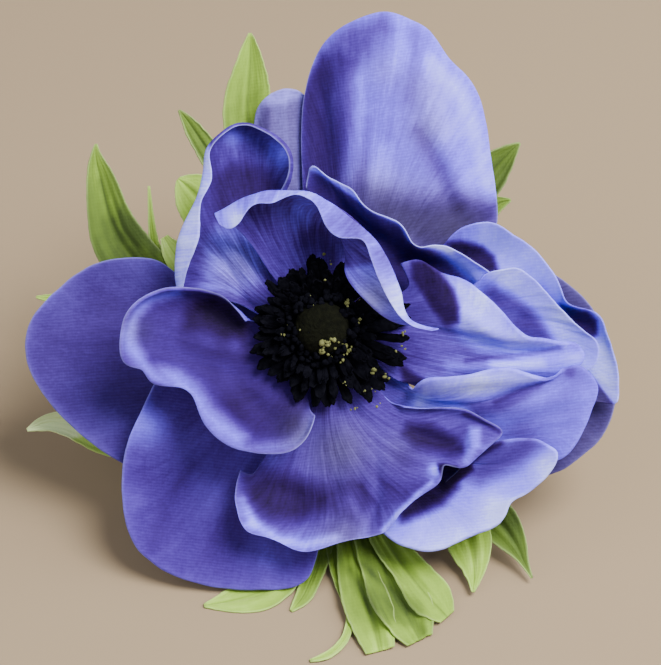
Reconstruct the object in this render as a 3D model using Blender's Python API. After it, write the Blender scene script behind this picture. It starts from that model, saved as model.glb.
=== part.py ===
"""A cut anemone flower lying down: a double bloom of fifteen petals with its face turned up, three
lobed bracts behind it and a curved stem. Metres, +Z up; it rests on z = 0."""
import math

import bmesh
import bpy
import numpy as np

for old in list(bpy.data.objects):
    bpy.data.objects.remove(old, do_unlink=True)

# The bloom is drawn on a square sheet seen from the front. One sheet unit is UNIT metres, the sheet's
# middle is SHEET_MID, depth is measured towards the viewer in millimetres, and the drawing is in
# perspective from EYE millimetres in front of the sheet.
UNIT_MM = 0.15
SHEET_MID = (330.5, 332.5)
EYE_MM = 420.0
TILT = math.radians(42)            # how far the face of the bloom is turned up
FACE_MM = (1.81, -35.04, 33.5)      # where the middle of the sheet stands

# Petals: rows run from the claw to the rim, and the points of a row run clockwise round the bloom.
PETALS = {
"petal_top": dict(ns=12, nt=7, rows=[
 [(318,304,-6.9),(330,300,-6.6),(343,303,-6.9)],
 [(316,272,-7.2),(336,256,-6.6),(358,250,-6.8),(380,262,-7.4),(392,286,-8.2)],
 [(312,245,-7.8),(332,205,-7.3),(355,180,-6.6),(380,168,-6.2),(406,182,-6.8),(426,212,-7.8),(438,256,-9.2)],
 [(306,215,-8.6),(320,145,-8.8),(338,100,-8.0),(360,82,-6.6),(386,76,-5.8),(411,86,-5.9),(432,105,-6.6),(450,132,-7.6),(462,165,-8.6),(472,205,-9.8),(474,248,-10.8)],
 [(303,190,-9.2),(301,122,-10.6),(308,75,-10.6),(322,46,-10.0),(342,27,-9.0),(365,16,-8.0),(388,12,-7.4),(411,20,-7.4),(430,31,-7.9),(449,58,-8.4),(470,80,-8.9),(482,105,-9.4),(490,150,-10.0),(496,195,-10.8),(497,222,-11.4),(490,248,-11.8)],
]),
"petal_back_left": dict(ns=9, nt=6, rows=[
 [(304,309,-7.9),(309,304,-7.8),(315,301,-7.9)],
 [(288,270,-9.2),(296,258,-9.0),(306,256,-9.2),(314,268,-9.4)],
 [(272,222,-11.2),(270,172,-11.8),(281,142,-11.2),(297,134,-11.8),(310,152,-12.4),(318,212,-12.6)],
 [(264,192,-12.6),(254,140,-13.0),(258,108,-12.8),(268,96,-12.2),(282,89,-11.8),(298,91,-12.4),(312,104,-13.0),(324,140,-13.8),(326,192,-13.8)],
]),
"petal_upper_left": dict(ns=14, nt=9, rows=[
 [(294,322,-4.8),(296,312,-4.7),(302,305,-4.8)],
 [(266,318,-4.6),(260,300,-4.4),(262,280,-4.4),(270,262,-4.7),(284,252,-5.0)],
 [(232,302,-3.6),(214,275,-2.9),(204,245,-1.9),(207,215,-1.4),(217,185,-1.8),(232,165,-2.8),(250,158,-3.8),(266,166,-4.4),(274,190,-4.9),(278,218,-5.0)],
 [(192,300,-2.6),(182,270,0.0),(184,240,1.6),(191,217,2.2),(201,192,2.2),(207,168,1.6),(212,150,0.9),(225,136,0.0),(241,130,-0.8),(258,133,-1.2),(274,141,-1.4),(284,152,-1.6),(288,166,-2.0),(285,180,-2.6),(278,198,-3.6)],
 [(180,302,-1.8),(176,270,1.4),(179,240,3.0),(187,218,3.6),(197,195,3.9),(204,170,3.4),(207,149,2.6),(222,132,1.4),(240,124,0.4),(258,127,0.0),(275,135,-0.1),(288,147,-0.2),(293,164,-0.6),(290,180,-1.4),(282,197,-2.8)],
 [(182,293,-0.6),(189,265,2.8),(198,242,4.6),(200,222,5.0),(201,200,5.2),(212,178,4.6),(210,153,3.8),(224,134,2.2),(241,126,1.2),(257,129,0.8),(273,138,0.6),(285,150,0.4),(289,165,0.0),(286,179,-0.8),(279,194,-2.2)],
]),
"petal_left": dict(ns=11, nt=6, rows=[
 [(300,352,-6.6),(291,334,-6.4),(297,316,-6.6)],
 [(252,388,-7.0),(218,388,-7.2),(188,362,-7.3),(186,330,-7.3),(208,309,-7.2),(240,304,-7.0)],
 [(218,428,-7.8),(172,434,-8.2),(122,412,-8.6),(84,376,-8.6),(78,335,-8.6),(104,300,-8.4),(150,284,-8.2),(198,288,-8.0)],
 [(190,474,-8.2),(152,474,-7.8),(123,463,-7.2),(90,441,-6.4),(60,413,-5.8),(38,385,-5.3),(26,350,-5.2),(33,318,-5.8),(55,293,-6.2),(90,267,-6.8),(130,258,-7.2),(160,262,-7.8),(184,282,-8.0)],
]),
"petal_lower_left": dict(ns=12, nt=6, rows=[
 [(316,369,-4.7),(305,361,-4.6),(297,349,-4.7)],
 [(314,432,-4.8),(284,458,-5.0),(246,452,-5.0),(230,420,-4.9),(234,388,-4.8),(252,368,-4.7)],
 [(318,496,-5.4),(292,534,-6.0),(250,544,-6.4),(204,538,-6.4),(168,508,-6.0),(156,466,-5.4),(166,424,-4.9),(196,392,-4.7)],
 [(326,530,-5.2),(318,550,-5.2),(312,570,-5.2),(300,584,-5.0),(275,589,-4.8),(245,589,-4.7),(215,586,-4.7),(185,579,-4.5),(160,567,-4.2),(138,548,-3.8),(126,520,-3.3),(123,490,-2.9),(125,460,-2.8),(133,430,-2.8),(145,405,-2.9),(158,380,-3.4),(176,364,-4.2)],
]),
"petal_inner_left": dict(ns=16, nt=7, rows=[
 [(309,357,-3.2),(298,347,-3.1),(292,333,-3.1),(296,320,-3.2)],
 [(310,384,-2.4),(286,386,-2.0),(262,362,-2.0),(256,338,-2.2),(262,322,-2.6)],
 [(309,402,-1.5),(292,420,0.4),(258,424,0.8),(228,404,0.2),(206,376,-0.4),(180,350,-0.2),(176,326,0.2),(194,306,0.2),(224,304,-0.4),(250,322,-1.4)],
 [(311,411,-0.3),(300,434,2.2),(262,440,3.0),(226,426,3.2),(206,400,2.2),(186,376,1.8),(160,362,2.6),(136,346,3.6),(136,322,4.0),(154,300,3.0),(184,294,1.8),(220,299,0.6),(247,321,-0.6)],
 [(315,415,0.9),(308,433,3.4),(292,448,4.6),(262,451,5.6),(232,444,6.0),(211,429,5.8),(200,412,5.2),(193,395,4.6),(180,386,4.2),(153,381,5.0),(144,368,5.8),(127,362,6.6),(121,338,7.0),(128,314,6.8),(143,300,5.8),(172,290,4.2),(200,292,3.0),(225,302,1.6),(246,322,0.2)],
]),
"petal_inner_top": dict(ns=20, nt=11, rows=[
 [(304,306,-3.3),(316,300,-3.1),(330,300,-3.1),(342,305,-3.2)],
 [(274,278,-2.8),(284,256,-2.2),(304,240,-1.6),(325,234,-1.1),(343,238,-0.8),(357,248,-0.5)],
 [(256,252,-0.8),(262,226,0.0),(284,212,0.8),(310,210,1.4),(330,220,2.2),(342,238,2.8),(346,256,3.2),(345,270,3.6)],
 [(240,232,1.6),(244,212,2.6),(262,201,3.2),(290,199,3.5),(315,204,4.0),(338,220,4.8),(352,238,5.2),(360,260,5.5),(364,282,5.6),(367,302,5.4)],
 [(227,221,3.0),(236,209,3.8),(254,197,4.4),(280,194,4.6),(304,196,4.9),(330,208,5.8),(352,224,6.5),(368,246,7.0),(382,276,7.0),(391,303,6.7),(400,324,6.2)],
 [(215,213,4.0),(228,207,4.6),(242,199,5.0),(258,192,5.4),(275,190,5.4),(292,191,5.4),(308,192,5.5),(322,198,5.9),(338,207,6.4),(352,217,6.8),(366,231,7.2),(381,250,7.6),(392,270,7.8),(400,290,7.8),(404,308,7.4),(413,322,6.8),(436,328,6.2)],
 [(219,224,5.2),(230,229,6.2),(240,222,6.8),(247,209,7.0),(257,203,7.0),(270,203,7.0),(284,198,6.8),(296,195,6.6),(308,199,6.8),(318,208,7.6),(325,224,8.4),(341,237,8.8),(361,240,8.8),(371,261,9.2),(382,287,9.2),(394,309,8.8),(409,324,7.8),(432,331,6.6)],
]),
"petal_upper_right": dict(ns=14, nt=7, rows=[
 [(330,300,-5.0),(341,303,-4.9),(350,310,-4.9)],
 [(322,266,-4.9),(344,258,-4.8),(368,268,-4.7),(386,286,-4.7),(398,302,-4.9)],
 [(314,228,-5.2),(340,212,-5.2),(370,230,-4.9),(400,254,-4.5),(430,266,-4.3),(455,276,-4.5),(470,292,-4.9)],
 [(310,198,-4.9),(324,190,-4.3),(346,202,-3.5),(368,222,-2.7),(396,236,-2.1),(420,253,-1.7),(448,258,-1.9),(468,270,-2.7),(482,286,-3.7)],
 [(306,188,-4.6),(312,166,-3.4),(325,174,-2.8),(340,183,-2.0),(352,190,-1.5),(362,203,-1.0),(375,212,-0.5),(390,218,0.0),(402,226,0.3),(410,240,0.2),(420,247,0.2),(437,245,0.0),(452,249,-0.3),(468,258,-0.8),(482,267,-1.5),(492,276,-2.7),(490,288,-3.5)],
]),
"petal_right_back": dict(ns=12, nt=6, rows=[
 [(366,343,-7.6),(362,355,-7.5),(354,364,-7.6)],
 [(400,326,-7.9),(416,342,-7.8),(418,362,-7.8),(404,378,-7.9)],
 [(450,298,-8.5),(492,304,-8.3),(532,320,-8.1),(556,350,-7.9),(560,386,-7.9),(544,416,-8.1),(505,432,-8.3),(455,422,-8.5)],
 [(500,264,-9.0),(530,262,-8.2),(556,276,-7.2),(575,290,-6.8),(592,309,-6.6),(604,330,-6.4),(612,355,-6.3),(616,380,-6.2),(615,402,-6.2),(610,420,-6.3),(600,438,-6.5),(585,453,-6.8),(568,466,-7.2),(550,474,-7.8),(520,476,-8.4),(480,466,-8.8)],
]),
"petal_right_outer": dict(ns=17, nt=7, rows=[
 [(355,312,-6.5),(361,323,-6.4),(363,336,-6.5)],
 [(385,304,-6.4),(405,311,-6.3),(420,325,-6.2),(420,345,-6.3),(405,356,-6.5)],
 [(410,285,-6.7),(440,275,-6.9),(470,279,-6.5),(500,299,-6.0),(520,320,-5.8),(530,341,-5.8),(524,362,-6.0),(500,371,-6.2)],
 [(425,272,-6.7),(453,257,-6.9),(482,251,-6.7),(508,259,-5.4),(532,280,-4.8),(553,302,-4.6),(575,318,-4.8),(590,329,-4.4),(598,350,-3.9),(600,374,-4.0),(590,388,-4.8),(560,394,-5.4),(524,388,-5.8)],
 [(432,260,-6.2),(447,240,-4.6),(460,229,-4.0),(478,223,-3.8),(495,224,-3.6),(512,234,-3.4),(530,246,-3.2),(545,261,-3.0),(556,277,-3.0),(562,292,-3.0),(567,303,-2.8),(580,308,-2.5),(592,311,-2.3),(601,319,-2.2),(605,332,-2.1),(611,350,-2.1),(617,372,-2.3),(618,390,-2.6),(616,403,-3.0),(600,402,-4.0),(570,404,-5.0),(540,402,-5.6)],
]),
"petal_right_mid": dict(ns=12, nt=6, rows=[
 [(356,317,-4.8),(361,327,-4.7),(363,338,-4.8)],
 [(396,302,-4.3),(412,314,-4.0),(426,332,-3.8),(424,352,-3.9)],
 [(442,302,-3.3),(466,293,-2.9),(490,294,-2.7),(514,304,-2.4),(535,322,-2.2),(550,340,-2.2),(554,362,-2.6)],
 [(468,300,-2.6),(478,285,-1.7),(487,274,-1.1),(500,270,-0.6),(515,268,-0.3),(527,274,-0.1),(540,286,0.0),(553,300,0.1),(565,313,0.1),(577,326,0.0),(588,335,-0.2),(597,343,-0.7),(598,356,-1.4),(590,369,-2.0),(572,378,-2.8)],
]),
"petal_right_inner": dict(ns=16, nt=7, rows=[
 [(355,318,-3.1),(361,330,-3.0),(360,343,-3.1)],
 [(385,299,-2.0),(401,315,-1.5),(414,331,-1.1),(418,346,-1.1),(408,364,-1.7),(388,374,-2.3)],
 [(408,284,-1.0),(438,298,0.6),(468,318,1.8),(498,334,2.2),(522,343,1.6),(541,351,0.8),(548,360,1.0),(530,368,0.8),(495,374,0.2),(450,382,-0.8),(410,384,-1.9)],
 [(400,264,-1.0),(420,260,-0.4),(440,272,0.4),(460,278,1.1),(475,287,1.7),(490,300,2.3),(505,315,2.7),(515,328,2.9),(527,337,2.9),(545,340,2.5),(562,343,1.9),(578,345,1.4),(585,356,1.0),(579,367,0.6),(558,378,0.0),(528,386,-0.5),(478,390,-1.5),(430,393,-2.6)],
]),
"petal_lower_right": dict(ns=17, nt=8, rows=[
 [(362,348,-4.9),(356,357,-4.8),(348,363,-4.9)],
 [(380,366,-4.4),(388,380,-4.3),(387,398,-4.4),(376,409,-4.7)],
 [(392,375,-4.3),(414,393,-2.6),(444,400,-0.9),(470,406,-0.7),(492,415,-1.0),(492,432,-2.0),(462,440,-3.0),(430,432,-3.8)],
 [(402,379,-4.0),(420,392,-1.0),(448,388,1.3),(476,390,1.0),(505,393,0.6),(530,389,0.7),(552,386,0.9),(572,388,1.0),(574,404,0.8),(564,426,0.3),(544,441,-0.4),(508,450,-1.4),(468,456,-2.6)],
 [(408,384,-3.5),(413,391,-0.4),(420,384,1.6),(432,379,2.3),(460,375,2.8),(485,370,3.0),(505,368,3.0),(522,372,2.7),(537,378,2.2),(550,381,1.6),(562,373,1.5),(577,366,1.6),(590,374,1.4),(598,387,1.1),(594,405,0.9),(585,427,0.7),(575,445,0.5),(562,458,0.2),(545,464,-0.5),(510,472,-1.6),(470,476,-2.8)],
]),
"petal_bottom_right": dict(ns=14, nt=6, rows=[
 [(345,365,-4.8),(336,368,-4.7),(326,369,-4.8)],
 [(389,418,-3.2),(406,430,-3.0),(415,446,-2.9),(404,466,-3.1),(384,464,-3.3),(360,444,-3.6)],
 [(430,459,-2.2),(455,456,-1.6),(482,460,-0.9),(508,468,-0.5),(502,490,-1.2),(476,508,-1.8),(445,520,-2.3),(410,514,-2.7),(384,490,-3.2)],
 [(446,482,-1.9),(463,467,-0.2),(480,453,0.8),(495,444,1.2),(515,440,1.5),(535,440,1.6),(548,446,1.6),(557,454,1.6),(551,470,1.2),(540,481,0.8),(525,493,0.3),(511,502,0.0),(505,515,-0.3),(495,526,-0.6),(480,532,-0.8),(460,540,-1.0),(440,549,-1.1),(425,551,-1.2),(405,546,-1.5),(390,538,-1.9),(372,520,-2.6),(362,500,-3.2)],
]),
"petal_bottom_inner": dict(ns=20, nt=9, rows=[
 [(347,357,-3.2),(335,363,-3.0),(321,364,-3.1)],
 [(374,384,-2.9),(369,404,-2.6),(351,424,-1.9),(330,430,-1.7),(311,425,-2.4),(300,408,-3.2)],
 [(390,403,-2.2),(424,423,-1.2),(440,444,-0.4),(416,462,0.5),(386,478,0.2),(356,489,-1.0),(326,490,-1.6),(296,490,-2.4),(272,480,-2.8),(264,458,-3.0)],
 [(398,406,-1.3),(448,415,-0.5),(474,430,0.2),(452,455,1.4),(428,474,1.8),(398,500,1.2),(362,515,-0.4),(332,520,-0.2),(300,523,-1.4),(272,513,-1.8),(252,496,-1.9),(252,474,-2.4)],
 [(404,408,-0.6),(435,409,0.3),(465,410,0.8),(485,420,1.2),(502,432,1.6),(484,450,2.2),(463,467,2.6),(444,464,3.0),(441,475,3.2),(437,484,3.0),(417,498,2.6),(398,516,2.1),(385,531,1.6),(360,538,1.2),(335,544,1.1),(305,552,0.6),(285,545,0.2),(265,537,0.0),(247,531,-0.2),(238,515,-0.6),(235,495,-1.2),(240,470,-2.2)],
]),
}

# Lobes of the three bracts: (x, y, depth, half width, cup) from the base to the tip. A lobe of the
# front bract lies on the surface, so its third number is its height above the surface in millimetres.
BRACTS = {
    "bract_left": ("depth", [
        [(300, 318, -11.6, 10, 0.0), (285, 230, -13.6, 22, 0.3), (262, 160, -15.2, 30, 0.6), (248, 120, -16.0, 25, 0.7), (248, 90, -16.2, 22, 0.7), (250, 62, -16.0, 14, 0.5), (250, 45, -15.8, 8, 0.3), (250, 33, -15.6, 1.5, 0)],
        [(302, 316, -11.45, 9, 0.0), (255, 225, -13.8, 14, 0.2), (215, 162, -15.4, 12, 0.3), (195, 132, -15.8, 9, 0.3), (186, 119, -15.8, 5, 0.2), (179, 110, -15.6, 1.2, 0)],
        [(299, 319, -11.3, 8, 0.0), (262, 262, -12.8, 18, 0.2), (225, 225, -14.0, 30, 0.5), (200, 200, -14.6, 26, 0.5), (186, 186, -14.8, 16, 0.3), (178, 179, -14.8, 3, 0)],
        [(298, 320, -11.75, 9, 0.0), (230, 316, -13.5, 16, 0.2), (165, 288, -14.8, 24, 0.4), (118, 240, -15.4, 27, 0.6), (106, 205, -15.4, 20, 0.6), (99, 172, -15.2, 12.5, 0.4), (96, 156, -15.0, 6, 0.2), (96, 144, -15.0, 1.5, 0)],
        [(300, 321, -11.5, 7, 0.0), (215, 305, -13.6, 10, 0.2), (172, 280, -14.8, 8, 0.2), (156, 250, -15.0, 5.5, 0.2), (151, 215, -15.0, 2.8, 0), (149, 186, -14.8, 1.1, 0)],
        [(302, 319, -11.2, 8.5, 0.0), (225, 300, -13.2, 12, 0.2), (190, 272, -13.8, 14, 0.3), (172, 250, -14.0, 11, 0.3), (164, 237, -14.0, 4, 0)],
        [(299, 317, -11.85, 7.5, 0.0), (210, 322, -13.6, 14, 0.2), (130, 308, -14.8, 14, 0.2), (70, 300, -14.8, 8, 0.1), (36, 297, -14.4, 1.2, 0)],
        [(301, 320, -11.95, 9.5, 0.0), (250, 365, -13.2, 12, 0.2), (180, 400, -14.2, 20, 0.3), (112, 430, -14.4, 28, 0.6), (70, 424, -14.0, 14, 0.5), (45, 423, -13.6, 8, 0.3), (27, 430, -13.4, 1.5, 0)],
    ]),
    "bract_front": ("height", [
        [(322, 350, 25.0, 8, 0.0), (314, 430, 14.5, 12, 0), (303, 510, 5.5, 16, 0), (285, 568, 1.1, 20, 0), (262, 591, 0.3, 19, 0), (235, 600, 0.2, 13, 0), (204, 606, 0.2, 1.5, 0)],
        [(325, 351, 24.8, 7.5, 0.0), (322, 430, 14.0, 10, 0), (322, 500, 6.0, 10, 0), (322, 545, 2.0, 11, 0), (313, 575, 0.7, 10, 0), (303, 597, 0.3, 8, 0), (291, 611, 0.2, 1.5, 0)],
        [(327, 351, 25.1, 7, 0.0), (330, 440, 13.0, 8, 0), (331, 520, 3.8, 7, 0), (335, 566, 1.3, 6, 0), (345, 597, 0.9, 5, 0), (350, 620, 0.8, 4, 0), (342, 643, 0.5, 4, 0), (326, 656, 0.3, 3.5, 0), (310, 661, 0.2, 1.2, 0)],
        [(329, 350, 24.9, 8.5, 0.0), (338, 440, 13.5, 12, 0.2), (346, 500, 6.5, 13, 0.3), (353, 550, 2.4, 17, 0.3), (362, 590, 1.2, 23, 0.5), (373, 622, 0.6, 23, 0.4), (380, 651, 0.3, 15, 0.2)],
        [(331, 349, 24.7, 8, 0.0), (344, 440, 13.2, 12, 0.2), (359, 500, 6.3, 14, 0.3), (377, 550, 2.6, 21, 0.4), (394, 590, 1.3, 29, 0.5), (409, 617, 0.7, 27, 0.4), (420, 640, 0.4, 14, 0.2)],
        [(332, 348, 25.2, 7.5, 0.0), (350, 438, 13.8, 11, 0.2), (367, 500, 6.8, 13, 0.3), (390, 545, 3.2, 16, 0.4), (414, 578, 1.9, 20, 0.4), (434, 602, 1.1, 21, 0.3), (447, 617, 0.8, 9, 0)],
    ]),
    "bract_right": ("depth", [
        [(346, 332, -11.6, 9, 0.0), (400, 430, -13.5, 14, 0.2), (450, 500, -13.0, 22, 0.4), (470, 545, -9.5, 22, 0.5), (474, 572, -7.0, 11, 0.3), (473, 592, -4.6, 1.5, 0)],
        [(347, 331, -11.4, 8, 0.0), (410, 430, -13.2, 12, 0.2), (465, 490, -12.0, 20, 0.3), (500, 524, -10.0, 20, 0.3), (516, 546, -8.5, 12, 0.2), (524, 562, -7.5, 5, 0.1), (532, 578, -6.5, 1.2, 0)],
        [(346, 330, -11.75, 8.5, 0.0), (420, 250, -14.0, 18, 0.2), (475, 190, -15.2, 22, 0.4), (500, 162, -15.4, 15, 0.3), (511, 151, -15.2, 8, 0.2), (520, 143, -15.2, 1.2, 0)],
        [(348, 329, -11.5, 7.5, 0.0), (430, 258, -13.8, 14, 0.2), (475, 222, -15.0, 12, 0.2), (497, 204, -15.2, 8.5, 0.1), (511, 200, -15.2, 1.5, 0)],
    ]),
}

# The middle: a dome on the receptacle, turned about an axis through AXIS; (radius, depth) in mm.
AXIS = (322, 329)
DOME = [(1.2, -9.3), (2.6, -8.9), (3.5, -7.6), (3.6, -5.5), (3.7, -3.0), (4.0, -1.0), (4.15, 0.6), (3.9, 1.9), (3.2, 2.9), (2.0, 3.55), (0.7, 3.8)]
# Stamen whorls: teeth, turn, and (radius, depth) from the collar to the tip of a tooth.
WHORLS = {
    "stamens_outer": (27, 0.00, [(4.5, -2.3), (7.2, -1.45), (9.6, -0.6), (12.2, 0.15)]),
    "stamens_middle": (25, 0.11, [(4.5, -1.45), (6.6, -0.5), (8.6, 0.4), (10.4, 1.3)]),
    "stamens_inner": (21, 0.05, [(4.55, -0.6), (5.8, 0.4), (7.0, 1.5), (8.0, 2.5)]),
}
# The stem's centre line from the receptacle to its cut end, from the middle of the sheet, along the room's axes.
STEM = [(-1.3, 7.35, -5.95), (-1.0, 14.0, -12.6), (0.4, 24.0, -20.6), (2.4, 38.0, -27.3), (4.6, 56.0, -30.9), (7.0, 80.0, -31.55), (9.6, 106.0, -31.6)]
STEM_R = [2.1, 1.85, 1.85, 1.9, 1.95, 2.0, 2.0]
PETAL_MM = 0.4
LEAF_MM = 0.4
STAMEN_MM = 0.45


def spline(points, at, out):
    """A natural cubic spline through points at the parameters at, read at out."""
    points = np.asarray(points, float)
    n = len(points)
    if n == 2:
        f = ((out - at[0]) / (at[1] - at[0]))[:, None]
        return points[0] * (1 - f) + points[1] * f
    h = np.diff(at)
    A = np.zeros((n, n))
    R = np.zeros((n, points.shape[1]))
    A[0, 0] = A[-1, -1] = 1
    for i in range(1, n - 1):
        A[i, i - 1], A[i, i], A[i, i + 1] = h[i - 1], 2 * (h[i - 1] + h[i]), h[i]
        R[i] = 6 * ((points[i + 1] - points[i]) / h[i] - (points[i] - points[i - 1]) / h[i - 1])
    M = np.linalg.solve(A, R)
    k = np.clip(np.searchsorted(at, out, side="right") - 1, 0, n - 2)
    a, b, hk = (at[k + 1] - out)[:, None], (out - at[k])[:, None], h[k][:, None]
    return (M[k] * a**3 + M[k + 1] * b**3) / (6 * hk) + (points[k] / hk - M[k] * hk / 6) * a + (points[k + 1] / hk - M[k + 1] * hk / 6) * b


def lengths(points):
    return np.concatenate([[0], np.cumsum(np.linalg.norm(np.diff(points, axis=0), axis=-1))])


def face(p):
    """Sheet units and depth to millimetres right, up and forward of the sheet's middle."""
    p = np.asarray(p, float)
    k = 1 - p[..., 2] / EYE_MM
    return np.stack([(p[..., 0] - SHEET_MID[0]) * UNIT_MM * k, (SHEET_MID[1] - p[..., 1]) * UNIT_MM * k, p[..., 2]], -1)


def to_room(q):
    """Millimetres right, up and forward of the sheet's middle to the room's axes."""
    s, c = math.sin(TILT), math.cos(TILT)
    return np.stack([q[..., 0], q[..., 1] * s - q[..., 2] * c, q[..., 1] * c + q[..., 2] * s], -1) + np.array(FACE_MM)


def depth_at(y, height):
    """The depth at which a point drawn at y is this high above the surface."""
    s, c = math.sin(TILT), math.cos(TILT)
    b = (SHEET_MID[1] - y) * UNIT_MM
    return (height - FACE_MM[2] - b * c) / (s - b * c / EYE_MM)


def row_curve(row, n):
    q = face(row)
    at = np.concatenate([[0], np.cumsum(np.sqrt(np.linalg.norm(np.diff(q, axis=0), axis=1)))])
    fine = spline(q, at, np.linspace(0, at[-1], 400))
    L = lengths(fine)
    want = np.linspace(0, L[-1], n)
    return np.stack([np.interp(want, L, fine[:, i]) for i in range(3)], -1)


def blade(rows, ns, nt):
    """A smooth surface through rows, ns points across and nt along."""
    R = np.stack([row_curve(r, ns) for r in rows])
    gap = np.linalg.norm(np.diff(R, axis=0), axis=2).mean(1)
    at = np.concatenate([[0], np.cumsum(np.sqrt(gap))])
    flat = spline(R.reshape(len(rows), -1), at, np.linspace(0, at[-1], 200)).reshape(200, ns, 3)
    L = np.concatenate([[0], np.cumsum(np.linalg.norm(np.diff(flat, axis=0), axis=2).mean(1))])
    k = np.interp(np.linspace(0, L[-1], nt), L, np.arange(200))
    i = np.clip(k.astype(int), 0, 198)
    f = (k - i)[:, None, None]
    return flat[i] * (1 - f) + flat[i + 1] * f


def lobe_rows(kind, stations):
    """Left, middle and right of a lobe at each station."""
    xy = np.array([(s[0], s[1]) for s in stations], float)
    t = np.gradient(xy, axis=0)
    t /= np.linalg.norm(t, axis=1, keepdims=True)
    rows = []
    for (x, y, d, half, cup), (tx, ty) in zip(stations, t):
        row = []
        for side, lift in ((1, cup), (0, 0), (-1, cup)):
            px, py = x + side * half * ty, y - side * half * tx
            row.append((px, py, depth_at(py, d + lift) if kind == "height" else d + lift))
        rows.append(row)
    return rows


def skin(P, thick):
    """A closed shell of this thickness about a surface."""
    nt, ns, _ = P.shape
    n = np.cross(np.gradient(P, axis=1), np.gradient(P, axis=0))
    n /= np.maximum(np.linalg.norm(n, axis=2, keepdims=True), 1e-9)
    V = np.concatenate([(P + n * thick / 2).reshape(-1, 3), (P - n * thick / 2).reshape(-1, 3)])
    o = nt * ns
    F = []
    for i in range(nt - 1):
        for j in range(ns - 1):
            a = i * ns + j
            F += [(a, a + 1, a + ns + 1), (a, a + ns + 1, a + ns), (o + a, o + a + ns + 1, o + a + 1), (o + a, o + a + ns, o + a + ns + 1)]
    ring = list(range(ns)) + [i * ns + ns - 1 for i in range(1, nt)] + [(nt - 1) * ns + j for j in range(ns - 2, -1, -1)] + [i * ns for i in range(nt - 2, 0, -1)]
    for a, b in zip(ring, ring[1:] + ring[:1]):
        F += [(a, o + a, o + b), (a, o + b, b)]
    return facing_out(V, np.array(F))


def facing_out(V, F):
    t = V[F]
    if np.einsum("ij,ij->", t[:, 0], np.cross(t[:, 1], t[:, 2])) < 0:
        F = F[:, ::-1]
    return V, F


def turned(profile, sides):
    """A solid turned about the bloom's axis from (radius, depth) pairs."""
    cx, cy, _ = face((AXIS[0], AXIS[1], 0))
    V = [(cx, cy, profile[0][1])]
    for r, d in profile:
        V += [(cx + r * math.cos(a), cy + r * math.sin(a), d) for a in np.arange(sides) * math.tau / sides]
    V.append((cx, cy, profile[-1][1]))
    F = []
    for j in range(sides):
        k = (j + 1) % sides
        F.append((0, 1 + k, 1 + j))
        for i in range(len(profile) - 1):
            a, b = 1 + i * sides + j, 1 + i * sides + k
            F += [(a, b, b + sides), (a, b + sides, a + sides)]
        F.append((1 + (len(profile) - 1) * sides + j, 1 + (len(profile) - 1) * sides + k, len(V) - 1))
    return facing_out(np.array(V), np.array(F))


def whorl(teeth, turn, line):
    """A collar with blunt teeth round the dome."""
    cx, cy, _ = face((AXIS[0], AXIS[1], 0))
    at = lengths(np.array(line))
    V, count = [], teeth * 3
    for i in range(count):
        tooth, part = divmod(i, 3)
        a = math.tau * (tooth + (0.0, 0.3, 0.7)[part]) / teeth + turn
        # the fringe reaches further out on the right and below
        reach = 1 + 0.07 * math.cos(a + 0.35) + 0.05 * math.sin(2.3 * tooth + 5 * turn) - 0.1 * max(0, math.cos(a + 1.75)) ** 8
        stop = 0.42 if part == 0 else 0.97 + 0.03 * math.cos(7.1 * tooth)
        for f in (0.0, 0.5, 1.0):
            s = at[-1] * f * stop
            r, d = np.interp(s, at, [p[0] for p in line]), np.interp(s, at, [p[1] for p in line])
            r = line[0][0] + (r - line[0][0]) * reach
            V.append((cx + r * math.cos(a), cy + r * math.sin(a), d))
    V = np.array(V)
    low = V - np.array([0, 0, STAMEN_MM])
    n, o = 3, len(V)
    F = []
    for i in range(count):
        a, b = i * n, (i + 1) % count * n
        for k in range(n - 1):
            F += [(a + k, a + k + 1, b + k + 1), (a + k, b + k + 1, b + k), (o + a + k, o + b + k + 1, o + a + k + 1), (o + a + k, o + b + k, o + b + k + 1)]
        F += [(a, b, o + b), (a, o + b, o + a), (a + n - 1, o + b + n - 1, b + n - 1), (a + n - 1, o + a + n - 1, o + b + n - 1)]
    return facing_out(np.concatenate([V, low]), np.array(F))


def stem(sides, along):
    line = np.array(STEM)
    at = lengths(line)
    want = np.linspace(0, at[-1], along)
    C = spline(line, at, want)
    R = np.interp(want, at, STEM_R)
    t = np.gradient(C, axis=0)
    t /= np.linalg.norm(t, axis=1, keepdims=True)
    side = np.cross(t, (0, 0, 1.0))
    side /= np.linalg.norm(side, axis=1, keepdims=True)
    up = np.cross(side, t)
    V = [C[0]]
    for c, r, s, u in zip(C, R, side, up):
        V += [c + r * (math.cos(a) * s + math.sin(a) * u) for a in np.arange(sides) * math.tau / sides]
    V.append(C[-1])
    F = []
    for j in range(sides):
        k = (j + 1) % sides
        F.append((0, 1 + k, 1 + j))
        for i in range(along - 1):
            a, b = 1 + i * sides + j, 1 + i * sides + k
            F += [(a, b, b + sides), (a, b + sides, a + sides)]
        F.append((1 + (along - 1) * sides + j, 1 + (along - 1) * sides + k, len(V) - 1))
    V = np.array(V) + np.array(FACE_MM)
    return facing_out(V, np.array(F))


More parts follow.
